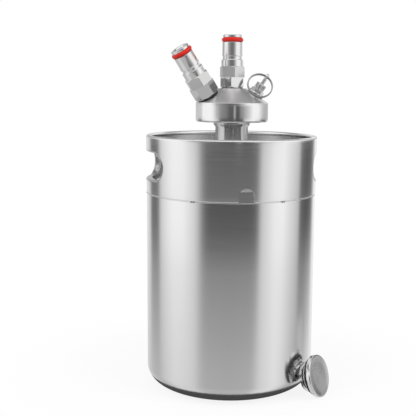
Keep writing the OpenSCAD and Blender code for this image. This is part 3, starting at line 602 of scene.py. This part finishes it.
collar_profile = (
    [(wall_r, SEAM_Z + 0.3), (TANK_R - 0.7, SEAM_Z), (TANK_R - 0.05, SEAM_Z)]
    + [(COLLAR_LOW_R, SEAM_Z + low_edge)]
    + [(collar_side_r(z), z) for z in (SEAM_Z + low_edge + short_edge, 203, 212, 224, 238, roll_z - 2)]
    + arc(roll_x, roll_z, ROLL_R, 0, 270, 36) + arc(roll_x, roll_z, ROLL_R - WALL, 270, 0, 30)
    + [(collar_side_r(z) - WALL, z) for z in (roll_z - 2, 238, 224, RIM_WALL_Z)]
    + [(wall_r, RIM_WALL_Z - 0.2)]
)
tools = [
    prism_mesh("handle_tool", stadium(LIP_BEND), 40, 120, turn_z(az) @ shift(0, 0, HANDLE_Z) @ OUTWARD)
    for az in (HANDLE_AZ, HANDLE_AZ + 180)
]
half, edge, below = NOTCH_W / 2, 0.8, 0.2


def notch_corner(side, turns):
    """Rounded corner where the notch meets the collar's lower edge."""
    return [(side * (half + edge) + x, SEAM_Z + edge - below + z) for x, z in arc(0, 0, edge, *turns, 3)]


notch = [(-half - edge, SEAM_Z - 3), (half + edge, SEAM_Z - 3), (half + edge, SEAM_Z - below)]
notch += notch_corner(1, (270, 180))
notch += [(x, SEAM_Z + NOTCH_H - half + z) for x, z in arc(0, 0, half, 0, 180, 28)]
notch += notch_corner(-1, (0, -90))
notch += [(-half - edge, SEAM_Z - below)]
tools.append(prism_mesh("notch_tool", notch, 40, 120, turn_z(NOTCH_AZ) @ OUTWARD))
collar = turned("carrying_collar", collar_profile, SHEET, segs=360, tools=tools)
collar.data.materials.append(EDGE)
collar.data.materials.append(INNER_SHADED)
# Cut edges take the edge steel; inward faces take the darker inner steel, its darker grey painted shade
# inside the collar
for p in collar.data.polygons:
    c, n = p.center / MM, p.normal
    radius = math.hypot(c.x, c.y)
    outward = (n.x * c.x + n.y * c.y) / max(radius, 1.0)
    at_edge = abs(outward) < 0.5 or c.z < SEAM_Z + 0.55
    if c.z < SEAM_Z + NOTCH_H + 1 and radius > TANK_R - 1.2 and at_edge:
        p.material_index = 1
    elif outward < -0.5 and c.z < roll_z - 0.5:
        p.material_index = 2
finish_piece(collar, "keg", "brushed_sheet", "collar")


def bend(radius, deep, turns):
    """Quarter bend in (offset from the flange, depth below the collar's face)."""
    return [(deep + radius * (1 - math.sin(w)), -deep - radius * (1 - math.cos(w))) for w in turns]


def handle_lip(name, az):
    """Sheet turned inwards round a handle hole: each station bends from the collar's face to a flange."""
    outline = stadium(0)
    n = len(outline)
    bm = bmesh.new()
    end_r = COLLAR_R - WALL - LIP_DEPTH
    end_round = 0.35
    section = bend(LIP_BEND, 0, np.linspace(0, math.pi / 2, 9))
    section += [(0.0, end_round), (end_round, 0.0), (WALL, 0.0), (WALL, 0.3)]
    flat_from, flat_to = 9, 13
    section += bend(LIP_BEND - WALL, WALL, np.linspace(math.pi / 2, 0, 5))
    rings = []
    for i, (u, v) in enumerate(outline):
        a, b = outline[i - 1], outline[(i + 1) % n]
        t = Vector((b[0] - a[0], b[1] - a[1])).normalized()
        out = Vector((t.y, -t.x))
        ring = []
        for j, (off, deep) in enumerate(section):
            uu, vv = u + out.x * off, v + out.y * off
            if flat_from <= j < flat_to:
                rho = math.sqrt(end_r**2 - uu * uu) + deep
            else:
                rho = math.sqrt((COLLAR_R + deep) ** 2 - uu * uu)
            ring.append(bm.verts.new((rho * MM, uu * MM, (HANDLE_Z + vv) * MM)))
        rings.append(ring)
    for i in range(n):
        a, b = rings[i], rings[(i + 1) % n]
        m = len(a)
        for k in range(m):
            bm.faces.new([a[k], b[k], b[(k + 1) % m], a[(k + 1) % m]])
    mesh = smooth_by_angle(to_mesh(bm, name), 40)
    mesh.transform(turn_z(az))
    # The lip takes the darker inner steel: painted shade inside the handle hole
    return add_object(name, mesh, INNER_SHADED)


for side, az in (("right", HANDLE_AZ), ("left", HANDLE_AZ + 180)):
    finish_piece(handle_lip("handle_lip_" + side, az), "keg", "brushed_sheet", "collar")


def tack_weld(name, az):
    """Two small weld spots side by side, each a low dome with a ripple."""
    bm = bmesh.new()
    rings, segs, sunk, ripple = 8, 28, 0.02, 0.04
    for shift_u in (-TACK_SPACING / 2, TACK_SPACING / 2):
        grid = []
        for i in range(rings + 1):
            d = i / rings
            h = TACK_PROUD * math.sqrt(max(0.0, 1 - d * d)) * (1 + ripple * math.cos(12 * d)) - sunk
            row = []
            for k in range(1 if i == 0 else segs):
                w = 2 * math.pi * k / segs
                u, v = TACK_R * d * math.cos(w) + shift_u, TACK_R * d * math.sin(w)
                row.append(at_angle(bm, TANK_R + h, math.radians(az) + u / TANK_R, SEAM_Z - TACK_DROP + v))
            grid.append(row)
        for k in range(segs):
            j = (k + 1) % segs
            bm.faces.new([grid[0][0], grid[1][k], grid[1][j]])
            for i in range(1, rings):
                bm.faces.new([grid[i][k], grid[i + 1][k], grid[i + 1][j], grid[i][j]])
        bm.faces.new(grid[rings][::-1])
    return add_object(name, smooth_by_angle(to_mesh(bm, name), 60), WELD)


for k in range(TACK_COUNT):
    spot = tack_weld(f"tack_weld_{k + 1}", TACK_AZ + 360 / TACK_COUNT * k)
    finish_piece(spot, "keg", "brushed_sheet", "tack_welds")


# Head
def thread_profile(r, top, length):
    """Half-profile of a thread, as rings, from the top down."""
    land, slope, root = PITCH / 8, PITCH * 3 / 8, r - THREAD_D
    pts = [(root, top)]
    for i in range(int(length // PITCH)):
        z = top - i * PITCH
        pts += [(root, z - land), (r, z - land - slope)]
        pts += [(r, z - 2 * land - slope), (root, z - 2 * land - 2 * slope)]
    pts.append((root, top - length))
    return pts


SPIGOT_LEN = 16
SPIGOT_Z = DISC_Z - SPIGOT_LEN
HEAD_SEAL_R, SEAL_ROOM = 1.8, 0.3
seal_mid = (NECK_BORE_R + LIP_R) / 2
groove, groove_z = HEAD_SEAL_R + SEAL_ROOM, LIP_Z + 3
groove_profile = [
    (seal_mid - groove, DISC_Z), (seal_mid - groove, groove_z),
    (seal_mid + groove, groove_z), (seal_mid + groove, DISC_Z),
]
disc_profile = (
    [(0, SPIGOT_Z), (2.2, SPIGOT_Z), (3.15, SPIGOT_Z)] + thread_profile(THREAD_R, DISC_Z, SPIGOT_LEN)[::-1]
    + groove_profile
    + arc(DISC_R - 1.8, DISC_Z + 1.8, 1.8, -90, 0, 10)
    + [(DISC_R, DISC_Z + 6), (DISC_R, CONE_Z - 4)]
    + arc(DISC_R - 0.55, CONE_Z - 0.3, 0.55, 0, 56.5, 4)
    + [(r, cone_surface_z(r)) for r in (30, 22, CONE_TOP_R + 0.3)]
    + [(CONE_TOP_R - 0.2, HEAD_TOP_Z), (0, HEAD_TOP_Z)]
)


def cylinder_tool(r, z0, z1, place, segs=96):
    return prism_mesh("tool", circle(r, segs), z0, z1, place)


head_tools = [
    cylinder_tool(PORT_SEAT_R, 0, 20, AT_GAS),
    cylinder_tool(PORT_SEAT_R, 0, 20, AT_LIQUID),
    cylinder_tool(RELIEF_SEAT_R, 0, 20, AT_RELIEF),
    cylinder_tool(PORT_BORE_R, -PORT_DEPTH, 2, AT_GAS),
    cylinder_tool(RELIEF_BORE_R, -RELIEF_DEPTH, 2, AT_RELIEF),
    cylinder_tool(PORT_BORE_R, -PORT_DEPTH, 2, AT_LIQUID),
]
for az in (GAS_AZ, RELIEF_AZ):
    way = turn_z(az) @ shift(GAS_WAY_AT, 0, 0)
    head_tools.append(cylinder_tool(GAS_WAY_R, SPIGOT_Z - 1, SPIGOT_Z + 30, way, 32))
head = turned("head_disc", disc_profile, SATIN, segs=256, tools=head_tools)
head.data.materials.append(CONE_FACE)
for p in head.data.polygons:
    if p.center.z > (CONE_Z + 0.02) * MM and p.normal.z > 0.5:
        p.material_index = 1
finish_piece(head, "head", "turned_satin", "head_body")


def hexagon(af, turn):
    return circle(af / (2 * math.cos(math.radians(30))), 6, turn)


def hex_body(name, z0, z1, turn, low, high):
    """Hexagonal bar: corners turned down at the ends that ask for it, the other edges finely broken."""
    flat = HEX_AF / 2
    corner = flat / math.cos(math.radians(30))
    over, broken, slope = corner + 0.02, 0.14, 0.96
    inset, dz = over - broken, (corner - flat) * slope
    prof = [(0, z0)]
    prof += [(flat, z0), (over, z0 + dz)] if low else [(inset, z0), (over, z0 + broken)]
    prof += [(over, z1 - dz), (flat, z1)] if high else [(over, z1 - broken), (inset, z1)]
    prof += [(0, z1)]
    bar = prism_mesh("hex_tool", hexagon(HEX_AF, turn), z0 - 1, z1 + 1)
    return profile_normals(cut(revolve_mesh(name, prof, 144), [bar], "INTERSECT"), prof)


def solid_mesh(name, profile, segs=144):
    return profile_normals(revolve_mesh(name, profile, segs), profile)


STUD_PITCH, STUD_TURNS, STUD_ROOT, STUD_R = 1.4, 6, 7.45, 8.3
ADAPTER_BORE, ADAPTER_SPIGOT_R, ADAPTER_SPIGOT_H = 2.8, 7.95, 8.5


def adapter(name, turn, place, body, cad, extra=0.0):
    """Nut with a threaded stud below and a spigot above, which the post's sleeve hides."""
    top = POST_Z + extra
    hexa = hex_body("hex", NUT_Z, top, turn, True, False)
    stud = [(ADAPTER_BORE, -PORT_DEPTH), (7.3, -PORT_DEPTH)]
    for k in range(STUD_TURNS):
        z = 0.2 - PORT_DEPTH + k * STUD_PITCH
        stud += [(STUD_ROOT, z), (STUD_R, z + 0.45), (STUD_R, z + 0.75), (STUD_ROOT, z + 1.2)]
    stud += [(7.6, 0.5), (7.6, NUT_Z + 0.5), (ADAPTER_BORE, NUT_Z + 0.5)]
    end = top + ADAPTER_SPIGOT_H
    spigot = [
        (ADAPTER_BORE, top - 1), (ADAPTER_SPIGOT_R, top - 1), (ADAPTER_SPIGOT_R, end - 0.5),
        (ADAPTER_SPIGOT_R - 0.45, end), (ADAPTER_BORE, end),
    ]
    mesh = join_meshes(name, [hexa, solid_mesh("stud", stud), solid_mesh("spigot", spigot)])
    return finish_piece(add_object(name, mesh, POLISHED, place), body, "turned_polished", cad)


SEAT_R, LOCK_R, BARREL_R, BORE_R, MOUTH_R, MOUTH_DEPTH = 10.9, 9.6, 10.05, 6.4, 4.3, 10.5


def post(name, turn, place, body, cad):
    """Post: hexagon, seat ring, locking groove, barrel with a groove for its seal ring, and a mouth."""
    hexa = hex_body("hex", POST_Z, SEAT_Z, turn, False, True)
    sleeve = (
        [(BORE_R, SEAT_Z - 1), (SEAT_R, SEAT_Z - 1)] + arc(SEAT_R - 0.3, LOCK_Z - 0.3, 0.3, 0, 70, 3)
        + arc(LOCK_R + 0.6, LOCK_Z + 0.6, 0.6, 250, 180, 4)
        + arc(LOCK_R + 0.6, BARREL_Z - 0.6, 0.6, 180, 110, 4)
        + [(BARREL_R + 0.0526, BARREL_Z + 0.7819), (BARREL_R + 0.25, BARREL_Z + 0.6)]
        + [(BARREL_R + 0.25, BARREL_Z + 1.2), (BARREL_R, BARREL_Z + 2.4)]
        + [(BARREL_R, RING_Z - 0.6)] + arc(BARREL_R - 0.5, RING_Z - 0.5, 0.5, 0, 90, 4)
        + [(BORE_R, RING_Z), (BORE_R, CROWN_Z)]
        + [(9.2, CROWN_Z)] + arc(9.1, CROWN_Z + 0.3, 0.3, -60, 0, 3)
        + arc(8.7, TOP_Z - 0.7, 0.7, 0, 90, 5)
        + arc(6.6, TOP_Z - 0.35, 0.35, 90, 135, 3)
        + [(MOUTH_R + 0.2, TOP_Z - 2.2), (MOUTH_R, TOP_Z - 2.6)]
        + [(MOUTH_R, TOP_Z - MOUTH_DEPTH), (BORE_R, TOP_Z - MOUTH_DEPTH)]
    )
    mesh = solid_mesh("sleeve", sleeve)
    hexa.materials.append(BLASTED)
    mesh.materials.append(SLEEVE)
    out = join_meshes(name, [hexa, mesh])
    return finish_piece(add_object(name, out, None, place), body, "blasted_post", cad)


SECTION_STEPS = 28


def torus_profile(mid, z, r, lo=-math.inf, hi=math.inf):
    """Round section, cut flat at lo and hi."""
    return [(x, min(max(y, lo), hi)) for x, y in arc(mid, z, r, 0, 360, SECTION_STEPS)[:-1]]


adapter("liquid_adapter_nut", -94, AT_LIQUID, "head", "liquid_adapter")
adapter("gas_adapter_nut", 39, AT_GAS, "head", "gas_adapter", GAS_NUT_EXTRA)
post("liquid_post_sleeve", -78, AT_LIQUID, "head", "liquid_post")
post("gas_post_sleeve", 18, AT_GAS_POST, "head", "gas_post")
pin_top, pin_shoulder = TOP_Z - 0.6, TOP_Z - MOUTH_DEPTH - 0.1 - 2.0
pin_base = pin_shoulder - 2.2
pin = [
    (0, pin_base - 8), (1.1, pin_base - 8), (1.6, pin_base - 7.5), (1.6, pin_base), (5.2, pin_base),
    (5.5, pin_base + 0.3), (5.5, pin_shoulder), (3.0, pin_shoulder), (3.0, pin_top - 0.6),
    (2.9, pin_top - 0.3), (2.4, pin_top), (1.2, pin_top), (1.0, pin_top - 0.2), (0, pin_top - 0.2),
]
for label, nut_place, place in (("liquid", AT_LIQUID, AT_LIQUID), ("gas", AT_GAS, AT_GAS_POST)):
    ring = turned(label + "_outer_seal", torus_profile(8.6, RING_Z + 2.2, 2.175), RED, place, segs=128)
    finish_piece(ring, "head", "red_seal", label + "_post_ring")
    under = turned(label + "_nut_seal", torus_profile(9.6, 1.0, 1.2, 0.0, NUT_Z), BLACK, nut_place, segs=128)
    finish_piece(under, "head", "black_seal", label + "_adapter_seal")
    poppet = turned(label + "_valve_pin", pin, POLISHED, place, segs=96)
    finish_piece(poppet, label + "_poppet", "turned_polished", label + "_poppet")

# Relief valve
RELIEF_NUT_AF, RELIEF_NUT_TURN = 12.0, 12
flange = [
    (0.5, -RELIEF_DEPTH), (4.2, -RELIEF_DEPTH), (4.9, 0.6 - RELIEF_DEPTH), (4.9, 1.2), (8.1, 1.2),
    (8.4, 1.5), (8.4, 3.2), (8.1, 3.6), (0.5, 3.6),
]
nut = [(0.5, 3.3), (6.95, 3.3), (6.95, 6.1), (6.2, 6.6), (0.5, 6.6)]
nut_tool = prism_mesh("nut_tool", hexagon(RELIEF_NUT_AF, RELIEF_NUT_TURN), 2, 9)
nut_mesh = cut(revolve_mesh("nut", nut, 96), [nut_tool], "INTERSECT")
valve = join_meshes("valve", [solid_mesh("flange", flange), profile_normals(nut_mesh, nut)])
valve = add_object("relief_valve_body", valve, POLISHED, AT_RELIEF)
finish_piece(valve, "head", "turned_polished", "relief_body")
washer_profile = [(5.1, 0), (7.4, 0), (7.6, 0.2), (7.6, 1.0), (7.4, 1.2), (5.1, 1.2)]
washer = turned("relief_valve_washer", washer_profile, BLACK, AT_RELIEF, segs=96)
finish_piece(washer, "head", "black_seal", "relief_washer")

CAP_R, CAP_BORE, CAP_GROOVES, CAP_GROOVE_DEPTH = 5.3, 1.95, 18, 0.42


def knurl(a, r, z):
    """Grooves round the cap's side."""
    if r > CAP_R - 0.3 and 7.2 < z < 12.4:
        return r - CAP_GROOVE_DEPTH * max(0.0, math.cos(CAP_GROOVES * a)) ** 2, z
    return r, z


cap_profile = (
    [(CAP_BORE, 6.65), (CAP_R - 0.2, 6.65)] + [(CAP_R, z) for z in (6.85, 7.1, 7.5, 9, 11, 11.9, 12.3)]
    + [(CAP_R - 0.2, 12.6), (CAP_R - 0.7, 13.0), (CAP_BORE, 13.0)]
)
cap = turned("relief_valve_cap", cap_profile, POLISHED, AT_RELIEF, segs=216, shape=knurl)
finish_piece(cap, "head", "turned_polished", "relief_cap")

RING_R, RING_WIRE, RING_PITCH, RING_LEAN = 12.3, 0.65, 1.75, -33.5
EYE_H, EYE_R, EYE_W, EYE_BORE = 21.5, 3.1, 2.6, RING_PITCH / 2 + RING_WIRE + 0.2
stem_r, stem_end = 1.8, EYE_H - EYE_R + 0.6
stem = solid_mesh("stem", [(0, 2), (stem_r, 2), (stem_r, stem_end), (0, stem_end)], 64)
side_z, bore_round, side_round = EYE_W / 2, 0.35, 0.5
eye_profile = (
    [(EYE_BORE, bore_round - side_z)]
    + arc(EYE_BORE + bore_round, bore_round - side_z, bore_round, 180, 270, 4)
    + arc(EYE_R - side_round, side_round - side_z, side_round, -90, 0, 5)
    + arc(EYE_R - side_round, side_z - side_round, side_round, 0, 90, 5)
    + arc(EYE_BORE + bore_round, side_z - bore_round, bore_round, 90, 180, 4)
)
eye = solid_mesh("eye", eye_profile, 96)
eye.transform(shift(0, 0, EYE_H) @ Matrix.Rotation(math.pi / 2, 4, "Y"))
pull_stem = add_object("relief_pull_stem", join_meshes("pull_stem", [stem, eye]), POLISHED, AT_RELIEF)
finish_piece(pull_stem, "relief_stem", "turned_polished", "relief_stem")

end_gap, steps = 12, 240
path = []
for i in range(steps + 1):
    t = i / steps
    a = math.radians(end_gap + (720 - 2 * end_gap) * t)
    path.append(Vector((RING_R * math.sin(a), -RING_PITCH * (2 * t - 1), -RING_R * math.cos(a))))
ring_mesh = tube_mesh("pull_ring_wire", path, RING_WIRE * 0.99, 16, Vector((0, 1, 0)))
lean = Matrix.Rotation(math.radians(RING_LEAN), 4, "X")
ring_mesh.transform(shift(0, 0, EYE_H) @ lean @ shift(0, 0, -RING_R))
pull = add_object("pull_ring_coil", ring_mesh, WIRE, AT_RELIEF)
finish_piece(pull, "pull_ring", "turned_polished", "pull_ring")

# Stopper
STOPPER_H, FACE_R, FACE_SUNK, PLUG_BORE, PLUG_FLOOR = 4.4, 18.9, 0.12, 10.9, 8.5
face_z = STOPPER_H - FACE_SUNK
stopper_profile = (
    [(PLUG_BORE, -PLUG_LEN), (13.2, -PLUG_LEN)] + thread_profile(THREAD_R, 0, PLUG_LEN)[::-1]
    + [(THREAD_R - THREAD_D, 0), (STOPPER_R - 0.7, 0)]
    + arc(STOPPER_R - 0.7, 0.7, 0.7, -90, 0, 6) + arc(STOPPER_R - 1.2, STOPPER_H - 1.2, 1.2, 0, 90, 8)
    + [(FACE_R, STOPPER_H)] + [(r, face_z) for r in (FACE_R - 0.2, 12, 5, 0)]
    + [(0, PLUG_FLOOR - PLUG_LEN), (PLUG_BORE, PLUG_FLOOR - PLUG_LEN)]
)
stopper = turned("stopper_disc", stopper_profile, POLISHED, AT_STOPPER, segs=256)
stopper.data.materials.append(TURNED_FACE)
for p in stopper.data.polygons:
    if p.center.z > (face_z - 0.03) * MM and math.hypot(p.center.x, p.center.y) < (FACE_R - 0.1) * MM:
        p.material_index = 1
finish_piece(stopper, "stopper", "turned_polished", "stopper")
stopper_seal = torus_profile(THREAD_R + 1.85, -1.85, 1.78)
stopper_ring = turned("stopper_ring", stopper_seal, BLACK, AT_STOPPER, segs=160)
finish_piece(stopper_ring, "stopper", "black_seal", "stopper_seal")

# Solids carried over as they are
LOOK = {
    BLACK: ("head_seal", "liquid_poppet_seal", "gas_poppet_seal", "relief_stem_seal"),
    WIRE: ("liquid_poppet_spring", "gas_poppet_spring", "relief_spring"),
    POLISHED: ("dip_tube_barb",),
    SILICONE: ("dip_tube",),
}
for mat, names in LOOK.items():
    for name in names:
        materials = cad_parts[name].data.materials
        materials.clear()
        materials.append(mat)

# Floor, cards, world and lamps
FLOOR_HALF, FLOOR_DROP = 6, 0.0002
floor_corners = [(x * FLOOR_HALF, y * FLOOR_HALF, 0) for x, y in ((-1, -1), (1, -1), (1, 1), (-1, 1))]
floor_mesh = bpy.data.meshes.new("floor")
floor_mesh.from_pydata(floor_corners, [], [(0, 1, 2, 3)])
floor_mat, nt, bsdf = new_material("white_floor")
bsdf.inputs["Base Color"].default_value = (1, 1, 1, 1)
bsdf.inputs["Roughness"].default_value = 1.0
bsdf.inputs["Specular IOR Level"].default_value = 0.0
glow = node(nt, "ShaderNodeEmission")
glow.inputs["Strength"].default_value = 1.0
mix = node(nt, "ShaderNodeMixShader")
far = node(nt, "ShaderNodeVectorMath", operation="LENGTH")
nt.links.new(node(nt, "ShaderNodeTexCoord").outputs["Object"], far.inputs[0])
SHADE_FROM, SHADE_TO, GLOW_NEAR = 0.08, 0.3, 0.87
fade = rescale(nt, far.outputs["Value"], GLOW_NEAR, 1.0, SHADE_FROM, SHADE_TO, "SMOOTHSTEP")
nt.links.new(fade, mix.inputs[0])
nt.links.new(bsdf.outputs[0], mix.inputs[1])
nt.links.new(glow.outputs[0], mix.inputs[2])
nt.links.new(mix.outputs[0], nt.nodes["Material Output"].inputs["Surface"])
floor = add_object("floor", floor_mesh, floor_mat)
floor.location.z = -FLOOR_DROP
floor.visible_glossy = False
floor.visible_diffuse = False


def grey_ramp(nt, fac, stops):
    """Greys by azimuth from the front, in degrees."""
    r = node(nt, "ShaderNodeValToRGB")
    cr = r.color_ramp
    cr.interpolation = "LINEAR"
    while len(cr.elements) > 1:
        cr.elements.remove(cr.elements[-1])
    first = True
    for a, v in sorted(stops):
        pos = a / 360 + 0.5
        e = cr.elements[0] if first else cr.elements.new(pos)
        e.position = pos
        e.color = (v, v, v, 1)
        first = False
    nt.links.new(fac, r.inputs[0])
    return r.outputs[0]


def front_azimuth(nt, vector):
    """Azimuth of a vector from the front, as 0 to 1 for -180 to 180 degrees, and the vector's parts."""
    xyz = node(nt, "ShaderNodeSeparateXYZ")
    nt.links.new(vector, xyz.inputs[0])
    az = math_node(nt, "ARCTAN2", xyz.outputs[0], math_node(nt, "MULTIPLY", xyz.outputs[1], -1.0))
    return math_node(nt, "ADD", math_node(nt, "DIVIDE", az, 2 * math.pi), 0.5), xyz


def card(name, mesh, grey=None, stops=None):
    """A card that only reflections see, of one grey or with greys by azimuth round the keg's axis."""
    mat, nt, _ = new_material(name)
    glow = node(nt, "ShaderNodeEmission")
    if stops:
        fac, _ = front_azimuth(nt, node(nt, "ShaderNodeTexCoord").outputs["Object"])
        nt.links.new(grey_ramp(nt, fac, stops), glow.inputs["Color"])
    else:
        glow.inputs["Color"].default_value = (grey, grey, grey, 1)
    nt.links.new(glow.outputs[0], nt.nodes["Material Output"].inputs["Surface"])
    obj = add_object(name, mesh, mat)
    for ray in ("camera", "diffuse", "transmission", "shadow", "volume_scatter"):
        setattr(obj, "visible_" + ray, False)
    return obj


def band_mesh(name, r, z0, z1):
    """Upright band round the axis."""
    segs = 180
    verts = [(x * MM, y * MM, z * MM) for z in (z0, z1) for x, y in circle(r, segs)]
    faces = [(k, (k + 1) % segs, segs + (k + 1) % segs, segs + k) for k in range(segs)]
    mesh = bpy.data.meshes.new(name)
    mesh.from_pydata(verts, [], faces)
    return mesh


# Dark under the keg, a little to the front, as its own shade on the floor
SHADE_R, SHADE_FORWARD, SHADE_GREY = 86, 7, 0.065
shade = prism_mesh("shade", circle(SHADE_R, 120), -1.2, -1.0, shift(0, -SHADE_FORWARD, 0))
card("shade_under_keg", shade, SHADE_GREY)

# Round the head: a light on each side of a grey front with a fine bright line, then round the posts
BAND_R, BAND_LOW, BAND_MID, BAND_HIGH = 330, 250, 292, 470
card("cards_round_head", band_mesh("head_band", BAND_R, BAND_LOW, BAND_MID), stops=[
    (-180, 0.6), (-135, 0.62), (-107, 0.7), (-99, 1.0), (-63, 1.0), (-55, 0.84), (-47, 0.54), (-40, 0.42),
    (-33, 0.3), (-14, 0.2), (-8, 0.12), (4, 0.1), (6.5, 0.42), (10.5, 0.42), (13, 0.08), (21, 0.1),
    (27, 0.27), (35, 0.34), (48, 0.54), (58, 0.75), (68, 1.0), (87, 1.0), (96, 0.86), (107, 0.64),
    (118, 0.52), (135, 0.48), (180, 0.6)])
card("cards_round_posts", band_mesh("post_band", BAND_R, BAND_MID, BAND_HIGH), stops=[
    (-180, 0.8), (-140, 0.42), (-118, 0.45), (-96, 0.85), (-88, 1.0), (-66, 1.0), (-57, 0.8), (-46, 0.42),
    (-34, 0.3), (-10, 0.16), (12, 0.19), (20, 0.3), (34, 0.56), (46, 0.92), (56, 1.0), (84, 1.0),
    (100, 0.66), (122, 0.55), (150, 0.9), (180, 0.8)])
# Beside the stopper, so that its face mirrors something light
BESIDE_GREY = 0.5
beside = prism_mesh("stopper_card", [(205, -12), (228, 40), (230, 39), (207, -13)], -18, 34)
card("card_by_stopper", beside, BESIDE_GREY)

world = bpy.data.worlds.new("studio")
scene.world = world
world.use_nodes = True
nt = world.node_tree
nt.nodes.clear()
az01, xyz = front_azimuth(nt, node(nt, "ShaderNodeTexCoord").outputs["Generated"])
height_deg = math_node(nt, "MULTIPLY", math_node(nt, "ARCSINE", xyz.outputs[2]), 180 / math.pi)


def mix_colour(fac, a, b):
    m = node(nt, "ShaderNodeMix", data_type="RGBA")
    nt.links.new(fac, m.inputs[0])
    for sock, v in ((m.inputs[6], a), (m.inputs[7], b)):
        if isinstance(v, (int, float)):
            sock.default_value = (v, v, v, 1)
        else:
            nt.links.new(v, sock)
    return m.outputs[2]


# By azimuth from the front: a dark card ahead, a soft light on each side, dark flags, white behind
upper = grey_ramp(nt, az01, [
    (-180, 0.8), (-150, 0.75), (-141, 0.6), (-134, 0.17), (-122, 0.14), (-114, 0.2), (-109, 0.62),
    (-103, 0.75), (-95, 0.87), (-84, 1.0), (-66, 1.0), (-58, 0.87), (-50, 0.76), (-45, 0.6), (-38, 0.22),
    (-33, 0.1), (-27, 0.07), (28, 0.07), (34, 0.1), (37, 0.25), (41, 0.62), (50, 0.78), (60, 0.95),
    (74, 1.0), (80, 0.88), (92, 0.72), (102, 0.56), (107, 0.12), (121, 0.07), (134, 0.12), (142, 0.35),
    (150, 0.9)])
lower = grey_ramp(nt, az01, [
    (-180, 0.8), (-150, 0.65), (-125, 0.54), (-113, 0.5), (-100, 0.62), (-80, 0.73), (-55, 0.68),
    (-48, 0.64), (-42, 0.55), (-33, 0.51), (0, 0.49), (25, 0.51), (31, 0.54), (36, 0.64), (42, 0.71),
    (65, 0.82), (72, 0.75), (85, 0.61), (95, 0.49), (104, 0.42), (118, 0.48), (134, 0.75), (150, 0.85),
    (179, 0.8)])
overhead = grey_ramp(nt, az01, [(-180, 0.3), (-120, 0.3), (-90, 1.0), (90, 1.0), (120, 0.3), (180, 0.3)])
# By height in degrees: the lower ramp, the upper one, the overhead one, and plain grey on top
UPPER_FADE, OVERHEAD_FADE, TOP_FADE = (-20.0, -7.4), (14, 32), (80, 90)
TOP_GREY, FILL_GREY, BACKDROP = 0.36, 0.55, 1.0
room = mix_colour(rescale(nt, height_deg, 0.0, 1.0, *UPPER_FADE), lower, upper)
room = mix_colour(rescale(nt, height_deg, 0.0, 1.0, *OVERHEAD_FADE, "SMOOTHSTEP"), room, overhead)
room = mix_colour(rescale(nt, height_deg, 0.0, 1.0, *TOP_FADE, "SMOOTHSTEP"), room, TOP_GREY)
rays = node(nt, "ShaderNodeLightPath")


def background(colour):
    b = node(nt, "ShaderNodeBackground")
    if isinstance(colour, (int, float)):
        b.inputs[0].default_value = (colour, colour, colour, 1)
    else:
        nt.links.new(colour, b.inputs[0])
    return b.outputs[0]


def choose(ray, otherwise, shader):
    m = node(nt, "ShaderNodeMixShader")
    nt.links.new(rays.outputs[ray], m.inputs[0])
    nt.links.new(otherwise, m.inputs[1])
    nt.links.new(shader, m.inputs[2])
    return m.outputs[0]


# Reflections see the room, other light is a plain grey fill, and the camera sees white
lit = choose("Is Glossy Ray", background(FILL_GREY), background(room))
out = node(nt, "ShaderNodeOutputWorld")
nt.links.new(choose("Is Camera Ray", lit, background(BACKDROP)), out.inputs[0])

LAMP_SIZE, LAMP_WATTS, LAMP_TARGET = 1.0, 14, Vector((0, 0, 0.2))
LAMPS = {"lamp_left": (-1.4, -0.9, 1.4), "lamp_right": (1.4, -0.9, 1.3)}
for name, where in LAMPS.items():
    data = bpy.data.lights.new(name, "AREA")
    data.size = LAMP_SIZE
    data.energy = LAMP_WATTS
    lamp = bpy.data.objects.new(name, data)
    scene.collection.objects.link(lamp)
    lamp.location = where
    lamp.rotation_mode = "QUATERNION"
    lamp.rotation_quaternion = (LAMP_TARGET - Vector(where)).to_track_quat("-Z", "Y")
    lamp.visible_glossy = False
